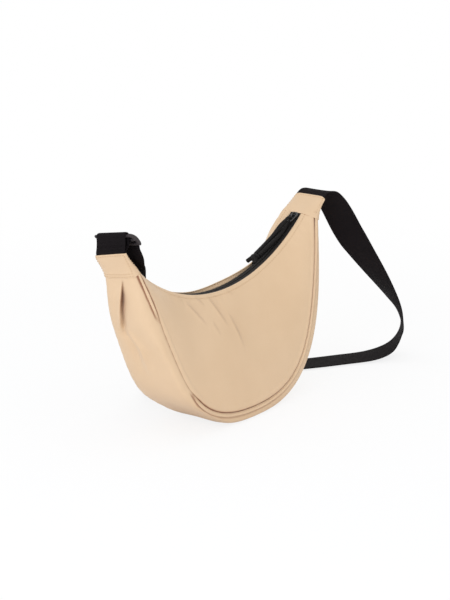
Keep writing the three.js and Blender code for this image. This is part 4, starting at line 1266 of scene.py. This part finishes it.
def horn_ring(tab, up, wall):
    """Ring round the horn a skirt below its end, moved up by a length: over the gusset outside, and back
    over both panels and straight across the zip's mouth inside, where the skirt is notched. It lies a lap
    off the cloth, is widened past the piping at both edges, and bulges over the raised part of the back
    lip."""
    q = TAB_ACROSS
    u = tab["hand"] * (1 - (tab["skirt"] + tab["slant"] * q - up) / SEAM_HALF)
    lap = np.full_like(q, TAB_LAP - wall)
    outer = gusset_point(u, (1 + EDGE_SHARE * q) / 2, -lap, finished=False)
    u = u + tab["hand"] * tab["notch"] * (1 - q * q) / SEAM_HALF
    angle = u * ZIP_HALF_ANGLE
    crown = (zip_point(angle, 0.0, -1.0) - zip_point(angle, 0.0, 0.0)) * lap[:, None]
    aside = np.clip((np.abs(q) - MOUTH_SHARE) / (1 - MOUTH_SHARE), 0, 1)
    front, back = (panel_point(u, EDGE_SHARE * aside, side, -lap, finished=False) for side in (-1, 1))
    across = np.clip((q / MOUTH_SHARE + 1) / 2, 0, 1)[:, None]
    inner = front + (back - front) * across + crown * ((1 - aside) ** 2)[:, None]
    inner[:, 1] += LIP_COVER * lip_rise(u) * smoothstep(q / MOUTH_SHARE) * (1 - aside)
    past = np.zeros_like(outer)
    outward = smoothstep((np.abs(q) - PAST_START) / (1 - PAST_START))
    past[:, 1] = np.sign(q) * (TAB_PAST - wall) * outward
    return np.concatenate([outer + past, (inner + past)[::-1]])


def tab_mouth(tab, wall):
    """Ring of the mouth, a flat oval about the webbing with its corners drawn back, and the way out."""
    hand, q = tab["hand"], TAB_ACROSS
    rise, leave, roll = (np.radians(tab[key]) for key in ("rise", "exit", "roll"))
    horn = np.array([hand * (HORN_END[0] + GUSSET_BULGE_HORN * np.cos(FLANK_LEAN)), 0.0,
                     HORN_END[1] - GUSSET_BULGE_HORN * np.sin(FLANK_LEAN)])
    inside = np.array([hand * ZIP_END[0], 0.0, ZIP_END[1]])
    across = unit(horn - inside)
    base = (horn + inside) / 2 + TAB_LIFT * np.array([-hand * across[2], 0.0, hand * across[0]])
    centre = base + tab["length"] * np.array([hand * np.cos(rise), 0.0, np.sin(rise)])
    way = np.array([hand * np.cos(np.radians(tab["lean"])), 0.0, np.sin(np.radians(tab["lean"]))])
    thick_axis = np.array([hand * np.sin(leave), 0.0, -np.cos(leave)])
    wide_axis = np.array([0.0, np.cos(roll), np.sin(roll)])
    thick = ((tab["plies"] - 1) * PLY_SPACING + STRAP_THICKNESS) / 2 + TAB_ROOM + TAB_WALL - wall
    thick = thick * np.sqrt(np.clip(1 - np.abs(q) ** 10, 0.04, 1))
    flat = centre + np.outer(q * (TAB_HALF_WIDTH - wall), wide_axis) - np.outer(tab["corner"] * q**8, way)
    off = np.outer(thick, thick_axis)
    return np.concatenate([flat + off, (flat - off)[::-1]]), way


# %% Tab sleeves
def sleeve_rings(tab, t, wall):
    """Sleeve: each column is a cubic from the horn's ring to the mouth's, with the cloth's own direction at
    the one end and the way out at the other."""
    start = horn_ring(tab, 0.0, wall)
    leave = (horn_ring(tab, LEAVE_STEP, wall) - start) / LEAVE_STEP
    end, way = tab_mouth(tab, wall)
    reach = SLEEVE_REACH * (tab["skirt"] + tab["length"])
    return cubic(np.asarray(t, float)[:, None, None], start, reach * leave, end, reach * way)


def tab_rings(tab):
    """Whole sleeve: up the outside, over a rounded rim, down the inside and round the hem."""
    outside = sleeve_rings(tab, np.linspace(0, 1, OUTSIDE_ROWS), 0.0)
    inside = sleeve_rings(tab, np.linspace(1, 0, INSIDE_ROWS), TAB_WALL)
    rim = (outside[-1:] + inside[:1]) / 2 + RIM_ROUND * tab_mouth(tab, 0.0)[1]
    hem = (outside[:1] + inside[-1:]) / 2 + HEM_ROUND * unit(outside[:1] - outside[1:2])
    return np.concatenate([outside, rim, inside, hem])


for label, tab in TABS.items():
    sleeve = add_loft(f"{label}_tab_sleeve", tab_rings(tab), looped=True)
    settle(sleeve, "bag", "shell_fabric", SHELL, f"{label}_tab")

# %% [markdown]
# ## Left fitting
# A short loop of ribbed webbing stands out of the left tab and holds the three-bar adjuster. The strap
# comes up over the adjuster's inner bar, goes under and round the middle one, and lies back on itself as
# a short tail. The webbing is bent along flat lines made of arcs; the adjuster is made of rounded bars,
# two of them arched, melted together by a voxel remesh as a moulding is.

# %% Anchor loop and threaded end
FITTING_PLACE = np.array([-175.95, 0.0, 210.46])
FITTING_ROLL = -10.0
ADJUSTER_TILT = 39.0
BAR_PITCH, BAR_WIDTH, FRAME_THICKNESS = 8.5, 3.6, 3.0
BAR_REACH = np.hypot(BAR_WIDTH / 2, FRAME_THICKNESS / 2)
WEB_GAP = 0.35
WRAP_RADIUS = BAR_REACH + STRAP_THICKNESS / 2 + WEB_GAP / 2
LOOP_RADIUS = BAR_REACH + WEB_GAP + STRAP_THICKNESS / 2
LOOP_LEAN, LOOP_RISE, LOOP_TUCK, LOOP_STAND = 6.5, 16.5, 1.6, 1.5
RIB_PITCH, RIB_HEIGHT, RIB_END, RIB_FADE = 4.4, 1.2, 0.75, 4.0
STRAP_RUN_OUT, TAIL_RUN_OUT = 4.5, 1.5


def arc(x, z, radius, start, end, count):
    """Points of an arc in the plane of the webbing's line, by angle in degrees."""
    angle = np.radians(np.linspace(start, end, count))
    return np.stack([x + radius * np.cos(angle), z + radius * np.sin(angle)], -1)


def in_fitting(points):
    """Points of the left fitting, rolled with the tab and moved to its mouth."""
    return points @ turn("x", FITTING_ROLL).T + FITTING_PLACE


def in_adjuster(points):
    """Points of the adjuster, tilted and hung in the top of the anchor loop."""
    return in_fitting(points @ turn("y", ADJUSTER_TILT).T + np.array([LOOP_LEAN, 0.0, LOOP_RISE]))


def bent_webbing(line, place, ribs=0.0):
    """Webbing whose centreline is a flat line of (x, z) points, its width across y."""
    path = np.stack([line[:, 0], np.zeros(len(line)), line[:, 1]], -1)
    across = np.broadcast_to([0.0, 1.0, 0.0], path.shape)
    return place(webbing_rings(path, across, ribs=ribs))


def anchor_line():
    """Up one side of the loop, over the bar and down the other side, into the tab."""
    half = PLY_SPACING / 2
    rise = [0.36 * LOOP_RISE, 0.72 * LOOP_RISE]
    up = [(-half, -LOOP_TUCK), (-half, LOOP_STAND), (0.3 * (LOOP_LEAN - LOOP_RADIUS), rise[0]),
          (0.8 * (LOOP_LEAN - LOOP_RADIUS), rise[1])]
    down = [(LOOP_LEAN + 0.4 * LOOP_RADIUS, rise[1]), (LOOP_LEAN + 0.1 * LOOP_RADIUS, rise[0]),
            (half, LOOP_STAND), (half, -LOOP_TUCK)]
    return smooth_line(np.concatenate([up, arc(LOOP_LEAN, LOOP_RISE, LOOP_RADIUS, 180, 0, 7), down]), 8)


# %% Threaded end
def threaded_line():
    """Up over the inner bar, under and round the middle bar, and back over itself."""
    inner, middle = 2 * BAR_PITCH, BAR_PITCH
    cross = np.degrees(np.arccos(WRAP_RADIUS / (BAR_PITCH / 2)))
    tilt = np.radians(ADJUSTER_TILT)
    hang = np.array([np.sin(tilt), -np.cos(tilt)])
    aside = np.array([np.cos(tilt), np.sin(tilt)])
    tail = WRAP_RADIUS + STRAP_THICKNESS + 2 * WEB_GAP
    reaches = ((WRAP_RADIUS, STRAP_RUN_OUT), (tail, TAIL_RUN_OUT))
    ends = [np.array([inner, 0.0]) + far * aside + run * hang for far, run in reaches]
    share = np.array([0.3, 0.65, 1.0])
    climb = WRAP_RADIUS + (tail + WEB_GAP - WRAP_RADIUS) * share
    over = np.stack([middle + (inner - middle) * share, climb], -1)
    return np.concatenate([
        ends[:1],
        arc(inner, 0, WRAP_RADIUS, ADJUSTER_TILT, 180 - cross, 12),
        arc(middle, 0, WRAP_RADIUS, -cross, -270, 24),
        over,
        arc(inner, 0, tail, 66, ADJUSTER_TILT, 5),
        ends[1:],
    ])


loop_line = anchor_line()
loop_at = running_length(loop_line)
on_outer_ply = 1 - smoothstep((loop_at - RIB_END * LOOP_RISE) / RIB_FADE)
loop_ribs = RIB_HEIGHT * np.sin(np.pi * loop_at / RIB_PITCH) ** 2 * on_outer_ply
anchor = add_loft("anchor_loop", bent_webbing(loop_line, in_fitting, loop_ribs))
settle(anchor, "bag", "webbing", WEBBING, "anchor_webbing")
threaded = add_loft("threaded_strap_end", bent_webbing(threaded_line(), in_adjuster))
settle(threaded, "adjuster", "webbing", WEBBING, "strap_threaded_end")


# %% Adjuster
def melt(piece, voxel, rounds):
    """Joins a piece's closed lofts into one skin by a voxel remesh, and smooths the joins."""
    remesh = piece.modifiers.new("melt", "REMESH")
    remesh.mode = "VOXEL"
    remesh.voxel_size = voxel * MM
    remesh.use_smooth_shade = True
    smooth = piece.modifiers.new("ease", "SMOOTH")
    smooth.factor = 0.5
    smooth.iterations = rounds
    bpy.context.view_layer.update()
    evaluated = piece.evaluated_get(bpy.context.evaluated_depsgraph_get())
    melted = bpy.data.meshes.new_from_object(evaluated)
    piece.modifiers.clear()
    piece.data = melted


BAR_SQUARE = 0.65


def squared(wave, power):
    """Wave drawn towards a square one: its sign times its size to a power below one."""
    return np.sign(wave) * np.abs(wave) ** power


def bar_rings(path, half_wide, half_high, reference, sides=20, blunt=14):
    """Rounded bar: a squarish oval carried along a path, drawn in to a more or less blunt tip at both
    ends."""
    side, other = path_axes(path, reference)
    angle = 2 * np.pi * (np.arange(sides) + 0.5) / sides
    wide, high = squared(np.cos(angle), BAR_SQUARE), squared(np.sin(angle), BAR_SQUARE)
    t = np.linspace(-1, 1, len(path))
    tip = np.sqrt(np.clip(1 - np.abs(t) ** blunt, 0.02, 1))[:, None, None]
    ring = wide[None, :, None] * half_wide * side[:, None] + high[None, :, None] * half_high * other[:, None]
    return path[:, None] + tip * ring


FRAME_INSIDE = STRAP_WIDTH / 2 + 1.1
FRAME_SIDE = 3.6
SIDE_ARCH, SIDE_END, SIDE_HIGH = 2.2, 1.0, 4.0
BAR_SHORT, BAR_POINTS = 0.4, 60
ADJUSTER_VOXEL, ADJUSTER_ROUNDS = 0.32, 12


def adjuster_lofts():
    """Three cross bars and two side bars; the side bars bow up between the outer and the inner bar."""
    reach = FRAME_INSIDE + FRAME_SIDE - BAR_SHORT
    y = np.linspace(-reach, reach, BAR_POINTS)
    lofts = []
    for place in (0.0, BAR_PITCH, 2 * BAR_PITCH):
        path = np.stack([np.full_like(y, place), y, np.zeros_like(y)], -1)
        lofts.append((bar_rings(path, BAR_WIDTH / 2, FRAME_THICKNESS / 2, (0, 0, 1)), False))
    t = np.linspace(0, 1, BAR_POINTS)
    for hand in (-1, 1):
        x = -SIDE_END - BAR_WIDTH / 2 + (2 * BAR_PITCH + BAR_WIDTH + 2 * SIDE_END) * t
        rise = SIDE_ARCH * np.sin(np.pi * t) ** 1.5
        path = np.stack([x, np.full_like(t, hand * (FRAME_INSIDE + FRAME_SIDE / 2)), rise], -1)
        lofts.append((bar_rings(path, FRAME_SIDE / 2, SIDE_HIGH / 2, (0, 0, 1), blunt=5), False))
    return [(in_adjuster(rings), looped) for rings, looped in lofts]


adjuster = add_lofts("three_bar_adjuster", adjuster_lofts())
melt(adjuster, ADJUSTER_VOXEL, ADJUSTER_ROUNDS)
settle(adjuster, "adjuster", "buckle_plastic", PLASTIC, "strap_adjuster")

# %% [markdown]
# ## Slider and pull
# The gloss black slider rides near the right end of the zip. A wire bail goes through its bridge, and a
# doubled cord is hitched over the bail and knotted at its end, with two short tails. The slider is a few
# rounded lofts melted together like a casting; bail, cord and knot are tubes along curves.

# %% Slider
SLIDER_PLACE, SLIDER_LEAN = np.array([144.583, 0.0, 187.909]), -40.2
PLATE_LOW, PLATE_TOP, UNDER_TOP, UNDER_LOW = -0.25, 1.35, -4.025, -5.625
SLIDER_HALF, SLIDER_TAIL, SLIDER_NOSE = 5.5, 3.3, 4.6
PLATE_SQUARE, PLATE_SIDES, PLATE_LEVELS = 0.55, 48, 9
PLATE_DRAWN, PLATE_CROWN = 0.82, 0.5
NOSE_START, NOSE_REACH = -3.0, 5.0
POST_BAR, BRIDGE_BAR = (0.35, 1.5), (1.5, 0.6)
POST_AT, POST_SHORT = 2.75, 0.8
BRIDGE_HALF, BRIDGE_RISE, BRIDGE_LOW, BRIDGE_PAST = 3.1, 3.6, 1.0, 0.15
SLIDER_VOXEL, SLIDER_ROUNDS = 0.15, 4


def in_slider(points):
    """Points of the slider, leant along the zip and moved to its place."""
    return points @ turn("y", SLIDER_LEAN).T + SLIDER_PLACE


def plate_rings(low, high, crown):
    """Plate: a squarish oval that widens from tail to nose, stacked in levels drawn in at both faces."""
    angle = 2 * np.pi * (np.arange(PLATE_SIDES) + 0.5) / PLATE_SIDES
    x = SLIDER_HALF * squared(np.cos(angle), PLATE_SQUARE)
    half = SLIDER_TAIL + (SLIDER_NOSE - SLIDER_TAIL) * smoothstep((x - NOSE_START) / NOSE_REACH)
    y = half * squared(np.sin(angle), PLATE_SQUARE)
    level = np.linspace(-1, 1, PLATE_LEVELS)
    shrink = PLATE_DRAWN + (1 - PLATE_DRAWN) * np.sqrt(np.clip(1 - level**4, 0, 1))
    z = (low + high) / 2 + (high - low) / 2 * level
    x, y = shrink[:, None] * x, shrink[:, None] * y
    swell = crown * np.clip(level, 0, 1)[:, None] * (1 - (y / SLIDER_NOSE) ** 2)
    return np.stack([x, y, z[:, None] + swell], -1)


def slider_lofts():
    """Two plates, the post between the tapes, and the arched bridge that holds the bail."""
    height = np.linspace(UNDER_LOW + POST_SHORT, PLATE_TOP - POST_SHORT, 12)
    post = np.stack([np.full_like(height, POST_AT), np.zeros_like(height), height], -1)
    sweep = np.linspace(-BRIDGE_PAST, np.pi + BRIDGE_PAST, 40)
    arch = BRIDGE_LOW + BRIDGE_RISE * np.sin(sweep)
    bridge = np.stack([BRIDGE_HALF * np.cos(sweep), np.zeros_like(sweep), arch], -1)
    lofts = [
        plate_rings(PLATE_LOW, PLATE_TOP, PLATE_CROWN),
        plate_rings(UNDER_LOW, UNDER_TOP, 0.0),
        bar_rings(post, *POST_BAR, (1, 0, 0)),
        bar_rings(bridge, *BRIDGE_BAR, (0, 1, 0)),
    ]
    return [(in_slider(rings), False) for rings in lofts]


slider = add_lofts("cast_slider", slider_lofts())
melt(slider, SLIDER_VOXEL, SLIDER_ROUNDS)
settle(slider, "slider", "zip_metal", LACQUER, "zip_slider")

# %% Bail and pull places
BAIL_PLACE, BAIL_LEAN = np.array([143.066, 0.0, 189.705]), -24.2
BAIL_LENGTH, BAIL_HALF, BAIL_WIRE, BAIL_SQUARE = 11.0, 4.2, 0.65, 0.4
PULL_PLACE = np.array([133.032, 0.0, 185.195])
PULL_DIP, PULL_YAW = -6.0, -8.5
CORD_RADIUS, PULL_RUN, PULL_SPREAD = 2.5, 57.0, 2.8
PULL_SAG, BAIL_SQUEEZE, SQUEEZE_START, SQUEEZE_REACH = 3.4, 0.8, -12.0, 9.0
KNOT_BACK, TAIL_LENGTH, TAIL_SPLAY = 4.95, 8.5, 20.0
KNOT_WRAPS = [(28.0, 1.2), (-28.0, -1.4)]
KNOT_WIDE, KNOT_HIGH, KNOT_CORD, KNOT_SIDES = 3.1, 2.2, 0.97 * CORD_RADIUS, 12
CORE_HALF, CORE_WIDE, CORE_HIGH = 4.2, 3.2, 2.4


def in_bail(points):
    """Points of the bail, leant and moved to the slider's bridge."""
    return points @ turn("y", BAIL_LEAN).T + BAIL_PLACE


def in_pull(points):
    """Points of the pull, turned aside, dipped and moved to the bail's far wire."""
    return points @ (turn("y", BAIL_LEAN + PULL_DIP) @ turn("z", PULL_YAW)).T + PULL_PLACE


def bail_path():
    """Rounded oblong: a squarish oval of the bail's length and width, lying flat."""
    angle = 2 * np.pi * np.arange(72) / 72
    x = BAIL_LENGTH / 2 * (squared(np.cos(angle), BAIL_SQUARE) - 1)
    y = BAIL_HALF * squared(np.sin(angle), BAIL_SQUARE)
    return np.stack([x, y, np.zeros_like(x)], -1)


def pull_sag(x):
    """How far the doubled cord sags into the zip's mouth, growing from the bail to its full value."""
    return PULL_SAG * smoothstep(-x / (0.5 * PULL_RUN))


# %% Bail, pull cord and knot
def pull_line():
    """Cord from the knot along one side, over the bail's far wire and back along the other side."""
    over = BAIL_WIRE + WEB_GAP + CORD_RADIUS
    upper = np.array([
        (-PULL_RUN, PULL_SPREAD, 0.0),
        (-0.7 * PULL_RUN, PULL_SPREAD, 0.1),
        (-0.45 * PULL_RUN, PULL_SPREAD, 0.6),
        (-0.22 * PULL_RUN, 0.6 * PULL_SPREAD, 0.65 * over),
        (-CORD_RADIUS, 0.1, over),
        (0.75 * over, 0.0, 0.85 * over),
    ])
    lower = (upper * np.array([1.0, -1.0, -1.0]))[::-1]
    line = smooth_line(np.concatenate([upper, [(1.3 * over, 0.0, 0.0)], lower]), 12)
    line[:, 2] -= pull_sag(line[:, 0])
    return line


def tail_path(hand):
    """Short tail that leaves the knot to one side and droops a little."""
    t = np.linspace(0, 1, 24)
    splay = np.radians(hand * TAIL_SPLAY)
    x = -TAIL_LENGTH * t * np.cos(splay)
    y = -hand * CORD_RADIUS - TAIL_LENGTH * t * np.sin(splay)
    return np.stack([x, y, -0.8 * t * t], -1)


def knot_lofts():
    """Overhand knot: two wraps, each a ring of cord leaning its own way, round a core, and two tails."""
    angle = 2 * np.pi * np.arange(48) / 48
    oval = np.stack([np.zeros_like(angle), KNOT_WIDE * np.cos(angle), KNOT_HIGH * np.sin(angle)], -1)
    lofts = []
    for lean, shift in KNOT_WRAPS:
        wrap = oval @ turn("z", lean).T + np.array([shift, 0.0, 0.0])
        lofts.append((tube_rings(wrap, KNOT_CORD, KNOT_SIDES, (1, 0, 0), True), True))
    core = np.stack([np.linspace(-CORE_HALF, CORE_HALF, 24), np.zeros(24), np.zeros(24)], -1)
    lofts.append((bar_rings(core, CORE_WIDE, CORE_HIGH, (0, 0, 1)), False))
    t = np.linspace(-1, 1, 24)
    tip = CORD_RADIUS * np.sqrt(np.clip(1 - np.clip(t, 0, 1) ** 10, 0.05, 1))
    lofts += [(tube_rings(tail_path(hand), tip, KNOT_SIDES, (0, 0, 1)), False) for hand in (-1, 1)]
    shift = np.array([-PULL_RUN - KNOT_BACK, 0.0, -PULL_SAG])
    return [(in_pull(rings + shift), looped) for rings, looped in lofts]


bail_rings = tube_rings(bail_path(), BAIL_WIRE, 14, (0, 0, 1), True)
bail = add_loft("wire_bail", in_bail(bail_rings), looped=True)
settle(bail, "bail", "zip_metal", LACQUER, "pull_bail")
cord_line = pull_line()
cord_radius = CORD_RADIUS - BAIL_SQUEEZE * smoothstep((cord_line[:, 0] - SQUEEZE_START) / SQUEEZE_REACH)
cord_rings = tube_rings(cord_line, cord_radius, 16, (0, 1, 0))
cord = add_loft("pull_cord_braid", in_pull(cord_rings))
settle(cord, "pull", "webbing", BRAID, "pull_cord")
knot = add_lofts("pull_knot_braid", knot_lofts())
settle(knot, "pull", "webbing", BRAID, "pull_knot")

# %% [markdown]
# ## Stitching
# Rows of thread hold the hems and the tabs. A painted dotted line would vanish close up, so each stitch is
# a small bowed bead of thread that dips into the cloth at both ends. All stitches of a row share one mesh
# and one formula.

# %% Stitch rows
STITCH_RADIUS, STITCH_COVER, STITCH_SINK = 0.33, 0.7, 0.45
STITCH_AT = np.array([0.0, 0.1, 0.3, 0.7, 0.9, 1.0])
STITCH_SIZE = STITCH_RADIUS * np.array([0.4, 0.8, 1.0, 1.0, 0.8, 0.4])
LIP_ROW_END, LIP_ROW_POINTS = 0.985, 500


def add_stitches(name, path, lift):
    """Running stitches: places along the path a pitch apart, each a short tube over seven tenths of the
    pitch whose height is a half wave and whose tips sink into the cloth."""
    at = running_length(path)
    count = int(at[-1] / STITCH_PITCH)
    step = at[-1] / count
    start = np.arange(count)[:, None] + (1 - STITCH_COVER) / 2
    where = (start + STITCH_COVER * STITCH_AT) * step
    centre = np.stack([np.interp(where, at, path[:, k]) for k in range(3)], -1)
    up = unit(np.stack([np.interp(where, at, lift[:, k]) for k in range(3)], -1))
    rise = STITCH_RADIUS * (1.1 * np.sin(np.pi * STITCH_AT) - STITCH_SINK)
    run = unit(centre[:, -1:] - centre[:, :1])
    side = unit(np.cross(run, up))
    angle = 2 * np.pi * np.arange(6) / 6
    ring = np.cos(angle)[:, None] * side[:, :, None] + np.sin(angle)[:, None] * up[:, :, None]
    beads = centre[:, :, None] + (up * rise[:, None])[:, :, None] + STITCH_SIZE[:, None, None] * ring
    row = add_lofts(name, [(bead, False) for bead in beads])
    return settle(row, "bag", "shell_fabric", SHELL_THREAD)


for label, side in SIDES.items():
    lip_u = np.linspace(-LIP_ROW_END, LIP_ROW_END, LIP_ROW_POINTS)
    level = np.zeros_like(lip_u)
    _, off, length = panel_base(lip_u, level, side)
    row = panel_point(lip_u, LIP_STITCH / length, side, level)
    add_stitches(f"{label}_lip_stitches", row, off)

# %% Tab stitches
ROW_MARGIN, EDGE_MARGIN = 4, 5
TAB_ROWS = {"outer": {"low": 0.05, "second": 0.15, "top": 0.93}, "inner": {"top": 0.93}}
EDGE_ROW = np.linspace(0.2, 0.92, 60)


def sleeve_row(tab, t, column):
    """Points along a line on a tab's outside and the ways off it: the line goes through rows t and columns
    of the sleeve, and the way off is the cross product of the sleeve's own directions."""
    rows = sleeve_rings(tab, t, 0.0)
    step = 0.01
    along = sleeve_rings(tab, np.asarray(t) + step, 0.0) - sleeve_rings(tab, np.asarray(t) - step, 0.0)
    off = unit(np.cross(np.gradient(rows, axis=1), along))
    off = off * np.sign(((rows - rows.mean(axis=1, keepdims=True)) * off).sum(-1, keepdims=True))
    pick = np.arange(len(t))
    return rows[pick, column], off[pick, column]


for label, tab in TABS.items():
    columns = np.arange(ROW_MARGIN, TAB_COLUMNS - ROW_MARGIN)
    for face, rows in TAB_ROWS.items():
        across = columns if face == "outer" else columns + TAB_COLUMNS
        for name, t in rows.items():
            row, off = sleeve_row(tab, np.full(len(across), t), across)
            add_stitches(f"{label}_tab_{face}_{name}_stitches", row, off)
        for name, column in (("front", EDGE_MARGIN), ("back", TAB_COLUMNS - 1 - EDGE_MARGIN)):
            where = column if face == "outer" else 2 * TAB_COLUMNS - 1 - column
            row, off = sleeve_row(tab, EDGE_ROW, np.full(len(EDGE_ROW), where))
            add_stitches(f"{label}_tab_{face}_{name}_stitches", row, off)

# %% [markdown]
# ## Zip stops
# The zip stops are small metal crimps that stay as they are, in lacquer.

# %% Stops and finish
for label in ("left", "right"):
    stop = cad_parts[f"zip_stop_{label}"]
    stop.data.materials.clear()
    stop.data.materials.append(LACQUER)
